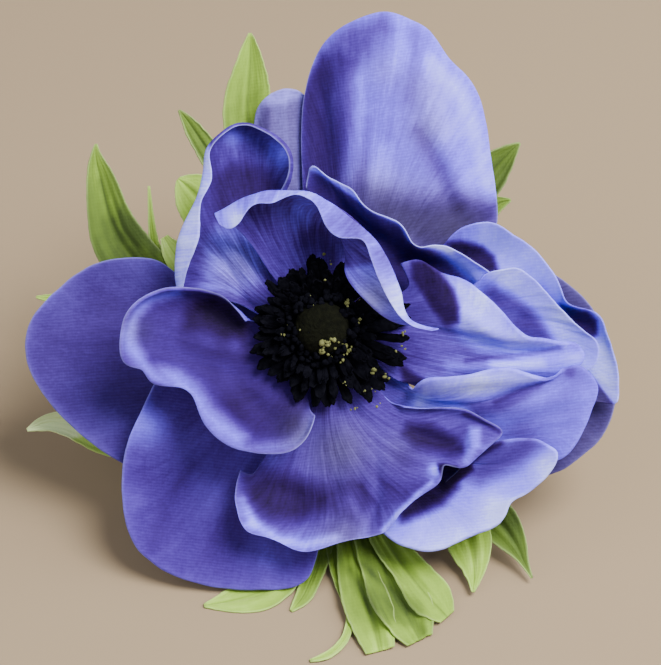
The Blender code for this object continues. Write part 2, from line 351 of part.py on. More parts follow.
def shells():
    """Node name to its closed shells in the room's axes, in millimetres. Shells of one node overlap and are joined."""
    found = {}
    for name, petal in PETALS.items():
        V, F = skin(blade(petal["rows"], petal["ns"], petal["nt"]), PETAL_MM)
        found[name] = [(to_room(V), F)]
    for name, (kind, lobes) in BRACTS.items():
        found[name] = []
        for lobe in lobes:
            V, F = skin(blade(lobe_rows(kind, lobe), 5, len(lobe) + 2), LEAF_MM)
            found[name].append((to_room(V), F))
    for name, (teeth, turn, line) in WHORLS.items():
        V, F = whorl(teeth, turn, line)
        found[name] = [(to_room(V), F)]
    V, F = turned(DOME, 20)
    found["centre"] = [(to_room(V), F)]
    found["stem"] = [stem(10, 15)]
    return found


COLOURS = {
    "petal": ((0.20, 0.17, 0.46), 0.75),
    "bract": ((0.30, 0.42, 0.14), 0.8),
    "stamens": ((0.012, 0.011, 0.02), 0.7),
    "centre": ((0.018, 0.018, 0.012), 0.8),
    "stem": ((0.26, 0.38, 0.14), 0.7),
}


def material_for(name):
    colour, rough = COLOURS[name.split("_")[0]]
    material = bpy.data.materials.new(name)
    material.use_nodes = True
    shader = material.node_tree.nodes["Principled BSDF"]
    shader.inputs["Base Color"].default_value = (*colour, 1)
    shader.inputs["Roughness"].default_value = rough
    return material


def mesh_object(name, V, F):
    mesh = bpy.data.meshes.new(name)
    mesh.from_pydata([tuple(p) for p in V / 1000], [], [tuple(int(i) for i in f) for f in F])
    mesh.validate()
    mesh.update()
    obj = bpy.data.objects.new(name, mesh)
    bpy.context.scene.collection.objects.link(obj)
    return obj


def joined(name, parts):
    """One body from overlapping shells."""
    objects = [mesh_object(f"{name}_lobe{i}", V, F) for i, (V, F) in enumerate(parts)]
    first = objects[0]
    for other in objects[1:]:
        union = first.modifiers.new("join", "BOOLEAN")
        union.operation, union.solver, union.object = "UNION", "MANIFOLD", other
    bpy.context.view_layer.update()
    graph = bpy.context.evaluated_depsgraph_get()
    mesh = bpy.data.meshes.new_from_object(first.evaluated_get(graph))
    mesh.name = name
    for obj in objects:
        bpy.data.objects.remove(obj, do_unlink=True)
    solid = bmesh.new()
    solid.from_mesh(mesh)
    bmesh.ops.triangulate(solid, faces=solid.faces)
    solid.to_mesh(mesh)
    solid.free()
    obj = bpy.data.objects.new(name, mesh)
    bpy.context.scene.collection.objects.link(obj)
    return obj


for name, parts in shells().items():
    obj = mesh_object(name, *parts[0]) if len(parts) == 1 else joined(name, parts)
    obj.data.materials.clear()
    obj.data.materials.append(material_for(name))
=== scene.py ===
"""The looks of the cut anemone: fine petals, stamens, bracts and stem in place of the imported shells, with their
materials, on a plain floor under soft light."""
import math
import random

import bpy
import numpy as np
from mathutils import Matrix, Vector, noise


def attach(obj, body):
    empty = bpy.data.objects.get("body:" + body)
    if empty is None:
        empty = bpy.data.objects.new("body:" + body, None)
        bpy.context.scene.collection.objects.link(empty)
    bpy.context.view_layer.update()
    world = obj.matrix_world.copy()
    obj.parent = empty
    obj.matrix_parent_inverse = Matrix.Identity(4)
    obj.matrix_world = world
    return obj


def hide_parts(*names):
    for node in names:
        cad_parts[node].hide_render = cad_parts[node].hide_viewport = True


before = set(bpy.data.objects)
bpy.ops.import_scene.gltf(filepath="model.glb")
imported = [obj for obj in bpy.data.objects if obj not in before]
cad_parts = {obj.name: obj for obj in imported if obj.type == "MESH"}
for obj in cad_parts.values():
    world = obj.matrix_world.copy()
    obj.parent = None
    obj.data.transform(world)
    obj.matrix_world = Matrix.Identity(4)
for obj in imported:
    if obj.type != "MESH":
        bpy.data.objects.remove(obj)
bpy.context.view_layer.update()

# The bloom is drawn on a square sheet seen from the front. One sheet unit is UNIT metres, the sheet's
# middle is SHEET_MID, depth is measured towards the viewer in millimetres, and the drawing is in
# perspective from EYE millimetres in front of the sheet.
UNIT_MM = 0.15
SHEET_MID = (330.5, 332.5)
EYE_MM = 420.0
TILT = math.radians(42)            # how far the face of the bloom is turned up
FACE_MM = (1.81, -35.04, 33.5)      # where the middle of the sheet stands

# Petals: rows run from the claw to the rim, and the points of a row run clockwise round the bloom.
PETALS = {
"petal_top": dict( rows=[
 [(318,304,-6.9),(330,300,-6.6),(343,303,-6.9)],
 [(316,272,-7.2),(336,256,-6.6),(358,250,-6.8),(380,262,-7.4),(392,286,-8.2)],
 [(312,245,-7.8),(332,205,-7.3),(355,180,-6.6),(380,168,-6.2),(406,182,-6.8),(426,212,-7.8),(438,256,-9.2)],
 [(306,215,-8.6),(320,145,-8.8),(338,100,-8.0),(360,82,-6.6),(386,76,-5.8),(411,86,-5.9),(432,105,-6.6),(450,132,-7.6),(462,165,-8.6),(472,205,-9.8),(474,248,-10.8)],
 [(303,190,-9.2),(301,122,-10.6),(308,75,-10.6),(322,46,-10.0),(342,27,-9.0),(365,16,-8.0),(388,12,-7.4),(411,20,-7.4),(430,31,-7.9),(449,58,-8.4),(470,80,-8.9),(482,105,-9.4),(490,150,-10.0),(496,195,-10.8),(497,222,-11.4),(490,248,-11.8)],
]),
"petal_back_left": dict( rows=[
 [(304,309,-7.9),(309,304,-7.8),(315,301,-7.9)],
 [(288,270,-9.2),(296,258,-9.0),(306,256,-9.2),(314,268,-9.4)],
 [(272,222,-11.2),(270,172,-11.8),(281,142,-11.2),(297,134,-11.8),(310,152,-12.4),(318,212,-12.6)],
 [(264,192,-12.6),(254,140,-13.0),(258,108,-12.8),(268,96,-12.2),(282,89,-11.8),(298,91,-12.4),(312,104,-13.0),(324,140,-13.8),(326,192,-13.8)],
]),
"petal_upper_left": dict( rows=[
 [(294,322,-4.8),(296,312,-4.7),(302,305,-4.8)],
 [(266,318,-4.6),(260,300,-4.4),(262,280,-4.4),(270,262,-4.7),(284,252,-5.0)],
 [(232,302,-3.6),(214,275,-2.9),(204,245,-1.9),(207,215,-1.4),(217,185,-1.8),(232,165,-2.8),(250,158,-3.8),(266,166,-4.4),(274,190,-4.9),(278,218,-5.0)],
 [(192,300,-2.6),(182,270,0.0),(184,240,1.6),(191,217,2.2),(201,192,2.2),(207,168,1.6),(212,150,0.9),(225,136,0.0),(241,130,-0.8),(258,133,-1.2),(274,141,-1.4),(284,152,-1.6),(288,166,-2.0),(285,180,-2.6),(278,198,-3.6)],
 [(180,302,-1.8),(176,270,1.4),(179,240,3.0),(187,218,3.6),(197,195,3.9),(204,170,3.4),(207,149,2.6),(222,132,1.4),(240,124,0.4),(258,127,0.0),(275,135,-0.1),(288,147,-0.2),(293,164,-0.6),(290,180,-1.4),(282,197,-2.8)],
 [(182,293,-0.6),(189,265,2.8),(198,242,4.6),(200,222,5.0),(201,200,5.2),(212,178,4.6),(210,153,3.8),(224,134,2.2),(241,126,1.2),(257,129,0.8),(273,138,0.6),(285,150,0.4),(289,165,0.0),(286,179,-0.8),(279,194,-2.2)],
]),
"petal_left": dict( rows=[
 [(300,352,-6.6),(291,334,-6.4),(297,316,-6.6)],
 [(252,388,-7.0),(218,388,-7.2),(188,362,-7.3),(186,330,-7.3),(208,309,-7.2),(240,304,-7.0)],
 [(218,428,-7.8),(172,434,-8.2),(122,412,-8.6),(84,376,-8.6),(78,335,-8.6),(104,300,-8.4),(150,284,-8.2),(198,288,-8.0)],
 [(190,474,-8.2),(152,474,-7.8),(123,463,-7.2),(90,441,-6.4),(60,413,-5.8),(38,385,-5.3),(26,350,-5.2),(33,318,-5.8),(55,293,-6.2),(90,267,-6.8),(130,258,-7.2),(160,262,-7.8),(184,282,-8.0)],
]),
"petal_lower_left": dict( rows=[
 [(316,369,-4.7),(305,361,-4.6),(297,349,-4.7)],
 [(314,432,-4.8),(284,458,-5.0),(246,452,-5.0),(230,420,-4.9),(234,388,-4.8),(252,368,-4.7)],
 [(318,496,-5.4),(292,534,-6.0),(250,544,-6.4),(204,538,-6.4),(168,508,-6.0),(156,466,-5.4),(166,424,-4.9),(196,392,-4.7)],
 [(326,530,-5.2),(318,550,-5.2),(312,570,-5.2),(300,584,-5.0),(275,589,-4.8),(245,589,-4.7),(215,586,-4.7),(185,579,-4.5),(160,567,-4.2),(138,548,-3.8),(126,520,-3.3),(123,490,-2.9),(125,460,-2.8),(133,430,-2.8),(145,405,-2.9),(158,380,-3.4),(176,364,-4.2)],
]),
"petal_inner_left": dict( rows=[
 [(309,357,-3.2),(298,347,-3.1),(292,333,-3.1),(296,320,-3.2)],
 [(310,384,-2.4),(286,386,-2.0),(262,362,-2.0),(256,338,-2.2),(262,322,-2.6)],
 [(309,402,-1.5),(292,420,0.4),(258,424,0.8),(228,404,0.2),(206,376,-0.4),(180,350,-0.2),(176,326,0.2),(194,306,0.2),(224,304,-0.4),(250,322,-1.4)],
 [(311,411,-0.3),(300,434,2.2),(262,440,3.0),(226,426,3.2),(206,400,2.2),(186,376,1.8),(160,362,2.6),(136,346,3.6),(136,322,4.0),(154,300,3.0),(184,294,1.8),(220,299,0.6),(247,321,-0.6)],
 [(315,415,0.9),(308,433,3.4),(292,448,4.6),(262,451,5.6),(232,444,6.0),(211,429,5.8),(200,412,5.2),(193,395,4.6),(180,386,4.2),(153,381,5.0),(144,368,5.8),(127,362,6.6),(121,338,7.0),(128,314,6.8),(143,300,5.8),(172,290,4.2),(200,292,3.0),(225,302,1.6),(246,322,0.2)],
]),
"petal_inner_top": dict( rows=[
 [(304,306,-3.3),(316,300,-3.1),(330,300,-3.1),(342,305,-3.2)],
 [(274,278,-2.8),(284,256,-2.2),(304,240,-1.6),(325,234,-1.1),(343,238,-0.8),(357,248,-0.5)],
 [(256,252,-0.8),(262,226,0.0),(284,212,0.8),(310,210,1.4),(330,220,2.2),(342,238,2.8),(346,256,3.2),(345,270,3.6)],
 [(240,232,1.6),(244,212,2.6),(262,201,3.2),(290,199,3.5),(315,204,4.0),(338,220,4.8),(352,238,5.2),(360,260,5.5),(364,282,5.6),(367,302,5.4)],
 [(227,221,3.0),(236,209,3.8),(254,197,4.4),(280,194,4.6),(304,196,4.9),(330,208,5.8),(352,224,6.5),(368,246,7.0),(382,276,7.0),(391,303,6.7),(400,324,6.2)],
 [(215,213,4.0),(228,207,4.6),(242,199,5.0),(258,192,5.4),(275,190,5.4),(292,191,5.4),(308,192,5.5),(322,198,5.9),(338,207,6.4),(352,217,6.8),(366,231,7.2),(381,250,7.6),(392,270,7.8),(400,290,7.8),(404,308,7.4),(413,322,6.8),(436,328,6.2)],
 [(219,224,5.2),(230,229,6.2),(240,222,6.8),(247,209,7.0),(257,203,7.0),(270,203,7.0),(284,198,6.8),(296,195,6.6),(308,199,6.8),(318,208,7.6),(325,224,8.4),(341,237,8.8),(361,240,8.8),(371,261,9.2),(382,287,9.2),(394,309,8.8),(409,324,7.8),(432,331,6.6)],
]),
"petal_upper_right": dict( rows=[
 [(330,300,-5.0),(341,303,-4.9),(350,310,-4.9)],
 [(322,266,-4.9),(344,258,-4.8),(368,268,-4.7),(386,286,-4.7),(398,302,-4.9)],
 [(314,228,-5.2),(340,212,-5.2),(370,230,-4.9),(400,254,-4.5),(430,266,-4.3),(455,276,-4.5),(470,292,-4.9)],
 [(310,198,-4.9),(324,190,-4.3),(346,202,-3.5),(368,222,-2.7),(396,236,-2.1),(420,253,-1.7),(448,258,-1.9),(468,270,-2.7),(482,286,-3.7)],
 [(306,188,-4.6),(312,166,-3.4),(325,174,-2.8),(340,183,-2.0),(352,190,-1.5),(362,203,-1.0),(375,212,-0.5),(390,218,0.0),(402,226,0.3),(410,240,0.2),(420,247,0.2),(437,245,0.0),(452,249,-0.3),(468,258,-0.8),(482,267,-1.5),(492,276,-2.7),(490,288,-3.5)],
]),
"petal_right_back": dict( rows=[
 [(366,343,-7.6),(362,355,-7.5),(354,364,-7.6)],
 [(400,326,-7.9),(416,342,-7.8),(418,362,-7.8),(404,378,-7.9)],
 [(450,298,-8.5),(492,304,-8.3),(532,320,-8.1),(556,350,-7.9),(560,386,-7.9),(544,416,-8.1),(505,432,-8.3),(455,422,-8.5)],
 [(500,264,-9.0),(530,262,-8.2),(556,276,-7.2),(575,290,-6.8),(592,309,-6.6),(604,330,-6.4),(612,355,-6.3),(616,380,-6.2),(615,402,-6.2),(610,420,-6.3),(600,438,-6.5),(585,453,-6.8),(568,466,-7.2),(550,474,-7.8),(520,476,-8.4),(480,466,-8.8)],
]),
"petal_right_outer": dict( rows=[
 [(355,312,-6.5),(361,323,-6.4),(363,336,-6.5)],
 [(385,304,-6.4),(405,311,-6.3),(420,325,-6.2),(420,345,-6.3),(405,356,-6.5)],
 [(410,285,-6.7),(440,275,-6.9),(470,279,-6.5),(500,299,-6.0),(520,320,-5.8),(530,341,-5.8),(524,362,-6.0),(500,371,-6.2)],
 [(425,272,-6.7),(453,257,-6.9),(482,251,-6.7),(508,259,-5.4),(532,280,-4.8),(553,302,-4.6),(575,318,-4.8),(590,329,-4.4),(598,350,-3.9),(600,374,-4.0),(590,388,-4.8),(560,394,-5.4),(524,388,-5.8)],
 [(432,260,-6.2),(447,240,-4.6),(460,229,-4.0),(478,223,-3.8),(495,224,-3.6),(512,234,-3.4),(530,246,-3.2),(545,261,-3.0),(556,277,-3.0),(562,292,-3.0),(567,303,-2.8),(580,308,-2.5),(592,311,-2.3),(601,319,-2.2),(605,332,-2.1),(611,350,-2.1),(617,372,-2.3),(618,390,-2.6),(616,403,-3.0),(600,402,-4.0),(570,404,-5.0),(540,402,-5.6)],
]),
"petal_right_mid": dict( rows=[
 [(356,317,-4.8),(361,327,-4.7),(363,338,-4.8)],
 [(396,302,-4.3),(412,314,-4.0),(426,332,-3.8),(424,352,-3.9)],
 [(442,302,-3.3),(466,293,-2.9),(490,294,-2.7),(514,304,-2.4),(535,322,-2.2),(550,340,-2.2),(554,362,-2.6)],
 [(468,300,-2.6),(478,285,-1.7),(487,274,-1.1),(500,270,-0.6),(515,268,-0.3),(527,274,-0.1),(540,286,0.0),(553,300,0.1),(565,313,0.1),(577,326,0.0),(588,335,-0.2),(597,343,-0.7),(598,356,-1.4),(590,369,-2.0),(572,378,-2.8)],
]),
"petal_right_inner": dict( rows=[
 [(355,318,-3.1),(361,330,-3.0),(360,343,-3.1)],
 [(385,299,-2.0),(401,315,-1.5),(414,331,-1.1),(418,346,-1.1),(408,364,-1.7),(388,374,-2.3)],
 [(408,284,-1.0),(438,298,0.6),(468,318,1.8),(498,334,2.2),(522,343,1.6),(541,351,0.8),(548,360,1.0),(530,368,0.8),(495,374,0.2),(450,382,-0.8),(410,384,-1.9)],
 [(400,264,-1.0),(420,260,-0.4),(440,272,0.4),(460,278,1.1),(475,287,1.7),(490,300,2.3),(505,315,2.7),(515,328,2.9),(527,337,2.9),(545,340,2.5),(562,343,1.9),(578,345,1.4),(585,356,1.0),(579,367,0.6),(558,378,0.0),(528,386,-0.5),(478,390,-1.5),(430,393,-2.6)],
]),
"petal_lower_right": dict( rows=[
 [(362,348,-4.9),(356,357,-4.8),(348,363,-4.9)],
 [(380,366,-4.4),(388,380,-4.3),(387,398,-4.4),(376,409,-4.7)],
 [(392,375,-4.3),(414,393,-2.6),(444,400,-0.9),(470,406,-0.7),(492,415,-1.0),(492,432,-2.0),(462,440,-3.0),(430,432,-3.8)],
 [(402,379,-4.0),(420,392,-1.0),(448,388,1.3),(476,390,1.0),(505,393,0.6),(530,389,0.7),(552,386,0.9),(572,388,1.0),(574,404,0.8),(564,426,0.3),(544,441,-0.4),(508,450,-1.4),(468,456,-2.6)],
 [(408,384,-3.5),(413,391,-0.4),(420,384,1.6),(432,379,2.3),(460,375,2.8),(485,370,3.0),(505,368,3.0),(522,372,2.7),(537,378,2.2),(550,381,1.6),(562,373,1.5),(577,366,1.6),(590,374,1.4),(598,387,1.1),(594,405,0.9),(585,427,0.7),(575,445,0.5),(562,458,0.2),(545,464,-0.5),(510,472,-1.6),(470,476,-2.8)],
]),
"petal_bottom_right": dict( rows=[
 [(345,365,-4.8),(336,368,-4.7),(326,369,-4.8)],
 [(389,418,-3.2),(406,430,-3.0),(415,446,-2.9),(404,466,-3.1),(384,464,-3.3),(360,444,-3.6)],
 [(430,459,-2.2),(455,456,-1.6),(482,460,-0.9),(508,468,-0.5),(502,490,-1.2),(476,508,-1.8),(445,520,-2.3),(410,514,-2.7),(384,490,-3.2)],
 [(446,482,-1.9),(463,467,-0.2),(480,453,0.8),(495,444,1.2),(515,440,1.5),(535,440,1.6),(548,446,1.6),(557,454,1.6),(551,470,1.2),(540,481,0.8),(525,493,0.3),(511,502,0.0),(505,515,-0.3),(495,526,-0.6),(480,532,-0.8),(460,540,-1.0),(440,549,-1.1),(425,551,-1.2),(405,546,-1.5),(390,538,-1.9),(372,520,-2.6),(362,500,-3.2)],
]),
"petal_bottom_inner": dict( rows=[
 [(347,357,-3.2),(335,363,-3.0),(321,364,-3.1)],
 [(374,384,-2.9),(369,404,-2.6),(351,424,-1.9),(330,430,-1.7),(311,425,-2.4),(300,408,-3.2)],
 [(390,403,-2.2),(424,423,-1.2),(440,444,-0.4),(416,462,0.5),(386,478,0.2),(356,489,-1.0),(326,490,-1.6),(296,490,-2.4),(272,480,-2.8),(264,458,-3.0)],
 [(398,406,-1.3),(448,415,-0.5),(474,430,0.2),(452,455,1.4),(428,474,1.8),(398,500,1.2),(362,515,-0.4),(332,520,-0.2),(300,523,-1.4),(272,513,-1.8),(252,496,-1.9),(252,474,-2.4)],
 [(404,408,-0.6),(435,409,0.3),(465,410,0.8),(485,420,1.2),(502,432,1.6),(484,450,2.2),(463,467,2.6),(444,464,3.0),(441,475,3.2),(437,484,3.0),(417,498,2.6),(398,516,2.1),(385,531,1.6),(360,538,1.2),(335,544,1.1),(305,552,0.6),(285,545,0.2),(265,537,0.0),(247,531,-0.2),(238,515,-0.6),(235,495,-1.2),(240,470,-2.2)],
]),
}

# Lobes of the three bracts: (x, y, depth, half width, cup) from the base to the tip. A lobe of the
# front bract lies on the surface, so its third number is its height above the surface in millimetres.
BRACTS = {
    "bract_left": ("depth", [
        [(300, 318, -11.6, 10, 0.0), (285, 230, -13.6, 22, 0.3), (262, 160, -15.2, 30, 0.6), (248, 120, -16.0, 25, 0.7), (248, 90, -16.2, 22, 0.7), (250, 62, -16.0, 14, 0.5), (250, 45, -15.8, 8, 0.3), (250, 33, -15.6, 1.5, 0)],
        [(302, 316, -11.45, 9, 0.0), (255, 225, -13.8, 14, 0.2), (215, 162, -15.4, 12, 0.3), (195, 132, -15.8, 9, 0.3), (186, 119, -15.8, 5, 0.2), (179, 110, -15.6, 1.2, 0)],
        [(299, 319, -11.3, 8, 0.0), (262, 262, -12.8, 18, 0.2), (225, 225, -14.0, 30, 0.5), (200, 200, -14.6, 26, 0.5), (186, 186, -14.8, 16, 0.3), (178, 179, -14.8, 3, 0)],
        [(298, 320, -11.75, 9, 0.0), (230, 316, -13.5, 16, 0.2), (165, 288, -14.8, 24, 0.4), (118, 240, -15.4, 27, 0.6), (106, 205, -15.4, 20, 0.6), (99, 172, -15.2, 12.5, 0.4), (96, 156, -15.0, 6, 0.2), (96, 144, -15.0, 1.5, 0)],
        [(300, 321, -11.5, 7, 0.0), (215, 305, -13.6, 10, 0.2), (172, 280, -14.8, 8, 0.2), (156, 250, -15.0, 5.5, 0.2), (151, 215, -15.0, 2.8, 0), (149, 186, -14.8, 1.1, 0)],
        [(302, 319, -11.2, 8.5, 0.0), (225, 300, -13.2, 12, 0.2), (190, 272, -13.8, 14, 0.3), (172, 250, -14.0, 11, 0.3), (164, 237, -14.0, 4, 0)],
        [(299, 317, -11.85, 7.5, 0.0), (210, 322, -13.6, 14, 0.2), (130, 308, -14.8, 14, 0.2), (70, 300, -14.8, 8, 0.1), (36, 297, -14.4, 1.2, 0)],
        [(301, 320, -11.95, 9.5, 0.0), (250, 365, -13.2, 12, 0.2), (180, 400, -14.2, 20, 0.3), (112, 430, -14.4, 28, 0.6), (70, 424, -14.0, 14, 0.5), (45, 423, -13.6, 8, 0.3), (27, 430, -13.4, 1.5, 0)],
    ]),
    "bract_front": ("height", [
        [(322, 350, 25.0, 8, 0.0), (314, 430, 14.5, 12, 0), (303, 510, 5.5, 16, 0), (285, 568, 1.1, 20, 0), (262, 591, 0.3, 19, 0), (235, 600, 0.2, 13, 0), (204, 606, 0.2, 1.5, 0)],
        [(325, 351, 24.8, 7.5, 0.0), (322, 430, 14.0, 10, 0), (322, 500, 6.0, 10, 0), (322, 545, 2.0, 11, 0), (313, 575, 0.7, 10, 0), (303, 597, 0.3, 8, 0), (291, 611, 0.2, 1.5, 0)],
        [(327, 351, 25.1, 7, 0.0), (330, 440, 13.0, 8, 0), (331, 520, 3.8, 7, 0), (335, 566, 1.3, 6, 0), (345, 597, 0.9, 5, 0), (350, 620, 0.8, 4, 0), (342, 643, 0.5, 4, 0), (326, 656, 0.3, 3.5, 0), (310, 661, 0.2, 1.2, 0)],
        [(329, 350, 24.9, 8.5, 0.0), (338, 440, 13.5, 12, 0.2), (346, 500, 6.5, 13, 0.3), (353, 550, 2.4, 17, 0.3), (362, 590, 1.2, 23, 0.5), (373, 622, 0.6, 23, 0.4), (380, 651, 0.3, 15, 0.2)],
        [(331, 349, 24.7, 8, 0.0), (344, 440, 13.2, 12, 0.2), (359, 500, 6.3, 14, 0.3), (377, 550, 2.6, 21, 0.4), (394, 590, 1.3, 29, 0.5), (409, 617, 0.7, 27, 0.4), (420, 640, 0.4, 14, 0.2)],
        [(332, 348, 25.2, 7.5, 0.0), (350, 438, 13.8, 11, 0.2), (367, 500, 6.8, 13, 0.3), (390, 545, 3.2, 16, 0.4), (414, 578, 1.9, 20, 0.4), (434, 602, 1.1, 21, 0.3), (447, 617, 0.8, 9, 0)],
    ]),
    "bract_right": ("depth", [
        [(346, 332, -11.6, 9, 0.0), (400, 430, -13.5, 14, 0.2), (450, 500, -13.0, 22, 0.4), (470, 545, -9.5, 22, 0.5), (474, 572, -7.0, 11, 0.3), (473, 592, -4.6, 1.5, 0)],
        [(347, 331, -11.4, 8, 0.0), (410, 430, -13.2, 12, 0.2), (465, 490, -12.0, 20, 0.3), (500, 524, -10.0, 20, 0.3), (516, 546, -8.5, 12, 0.2), (524, 562, -7.5, 5, 0.1), (532, 578, -6.5, 1.2, 0)],
        [(346, 330, -11.75, 8.5, 0.0), (420, 250, -14.0, 18, 0.2), (475, 190, -15.2, 22, 0.4), (500, 162, -15.4, 15, 0.3), (511, 151, -15.2, 8, 0.2), (520, 143, -15.2, 1.2, 0)],
        [(348, 329, -11.5, 7.5, 0.0), (430, 258, -13.8, 14, 0.2), (475, 222, -15.0, 12, 0.2), (497, 204, -15.2, 8.5, 0.1), (511, 200, -15.2, 1.5, 0)],
    ]),
}

# The middle: a dome on the receptacle, turned about an axis through AXIS; (radius, depth) in mm.
AXIS = (322, 329)
DOME = [(1.2, -9.3), (2.6, -8.9), (3.5, -7.6), (3.6, -5.5), (3.7, -3.0), (4.0, -1.0), (4.15, 0.6), (3.9, 1.9), (3.2, 2.9), (2.0, 3.55), (0.7, 3.8)]
# Stamen whorls: teeth, turn, and (radius, depth) from the collar to the tip of a tooth.
WHORLS = {
    "stamens_outer": (27, 0.00, [(4.5, -2.3), (7.2, -1.45), (9.6, -0.6), (12.2, 0.15)]),
    "stamens_middle": (25, 0.11, [(4.5, -1.45), (6.6, -0.5), (8.6, 0.4), (10.4, 1.3)]),
    "stamens_inner": (21, 0.05, [(4.55, -0.6), (5.8, 0.4), (7.0, 1.5), (8.0, 2.5)]),
}
# The stem's centre line from the receptacle to its cut end, from the middle of the sheet, along the room's axes.
STEM = [(-1.3, 7.35, -5.95), (-1.0, 14.0, -12.6), (0.4, 24.0, -20.6), (2.4, 38.0, -27.3), (4.6, 56.0, -30.9), (7.0, 80.0, -31.55), (9.6, 106.0, -31.6)]
STEM_R = [2.1, 1.85, 1.85, 1.9, 1.95, 2.0, 2.0]
PETAL_MM = 0.4
LEAF_MM = 0.4
STAMEN_MM = 0.45


def spline(points, at, out):
    """A natural cubic spline through points at the parameters at, read at out."""
    points = np.asarray(points, float)
    n = len(points)
    if n == 2:
        f = ((out - at[0]) / (at[1] - at[0]))[:, None]
        return points[0] * (1 - f) + points[1] * f
    h = np.diff(at)
    A = np.zeros((n, n))
    R = np.zeros((n, points.shape[1]))
    A[0, 0] = A[-1, -1] = 1
    for i in range(1, n - 1):
        A[i, i - 1], A[i, i], A[i, i + 1] = h[i - 1], 2 * (h[i - 1] + h[i]), h[i]
        R[i] = 6 * ((points[i + 1] - points[i]) / h[i] - (points[i] - points[i - 1]) / h[i - 1])
    M = np.linalg.solve(A, R)
    k = np.clip(np.searchsorted(at, out, side="right") - 1, 0, n - 2)
    a, b, hk = (at[k + 1] - out)[:, None], (out - at[k])[:, None], h[k][:, None]
    return (M[k] * a**3 + M[k + 1] * b**3) / (6 * hk) + (points[k] / hk - M[k] * hk / 6) * a + (points[k + 1] / hk - M[k + 1] * hk / 6) * b


def lengths(points):
    return np.concatenate([[0], np.cumsum(np.linalg.norm(np.diff(points, axis=0), axis=-1))])


def face(p):
    """Sheet units and depth to millimetres right, up and forward of the sheet's middle."""
    p = np.asarray(p, float)
    k = 1 - p[..., 2] / EYE_MM
    return np.stack([(p[..., 0] - SHEET_MID[0]) * UNIT_MM * k, (SHEET_MID[1] - p[..., 1]) * UNIT_MM * k, p[..., 2]], -1)


def to_room(q):
    """Millimetres right, up and forward of the sheet's middle to the room's axes."""
    s, c = math.sin(TILT), math.cos(TILT)
    return np.stack([q[..., 0], q[..., 1] * s - q[..., 2] * c, q[..., 1] * c + q[..., 2] * s], -1) + np.array(FACE_MM)


def depth_at(y, height):
    """The depth at which a point drawn at y is this high above the surface."""
    s, c = math.sin(TILT), math.cos(TILT)
    b = (SHEET_MID[1] - y) * UNIT_MM
    return (height - FACE_MM[2] - b * c) / (s - b * c / EYE_MM)


def row_curve(row, n):
    q = face(row)
    at = np.concatenate([[0], np.cumsum(np.sqrt(np.linalg.norm(np.diff(q, axis=0), axis=1)))])
    fine = spline(q, at, np.linspace(0, at[-1], 400))
    L = lengths(fine)
    want = np.linspace(0, L[-1], n)
    return np.stack([np.interp(want, L, fine[:, i]) for i in range(3)], -1)


def blade(rows, ns, nt):
    """A smooth surface through rows, ns points across and nt along."""
    R = np.stack([row_curve(r, ns) for r in rows])
    gap = np.linalg.norm(np.diff(R, axis=0), axis=2).mean(1)
    at = np.concatenate([[0], np.cumsum(np.sqrt(gap))])
    flat = spline(R.reshape(len(rows), -1), at, np.linspace(0, at[-1], 200)).reshape(200, ns, 3)
    L = np.concatenate([[0], np.cumsum(np.linalg.norm(np.diff(flat, axis=0), axis=2).mean(1))])
    k = np.interp(np.linspace(0, L[-1], nt), L, np.arange(200))
    i = np.clip(k.astype(int), 0, 198)
    f = (k - i)[:, None, None]
    return flat[i] * (1 - f) + flat[i + 1] * f


def lobe_rows(kind, stations):
    """Left, middle and right of a lobe at each station."""
    xy = np.array([(s[0], s[1]) for s in stations], float)
    t = np.gradient(xy, axis=0)
    t /= np.linalg.norm(t, axis=1, keepdims=True)
    rows = []
    for (x, y, d, half, cup), (tx, ty) in zip(stations, t):
        row = []
        for side, lift in ((1, cup), (0, 0), (-1, cup)):
            px, py = x + side * half * ty, y - side * half * tx
            row.append((px, py, depth_at(py, d + lift) if kind == "height" else d + lift))
        rows.append(row)
    return rows


def facing_out(V, F):
    t = V[F]
    if np.einsum("ij,ij->", t[:, 0], np.cross(t[:, 1], t[:, 2])) < 0:
        F = F[:, ::-1]
    return V, F



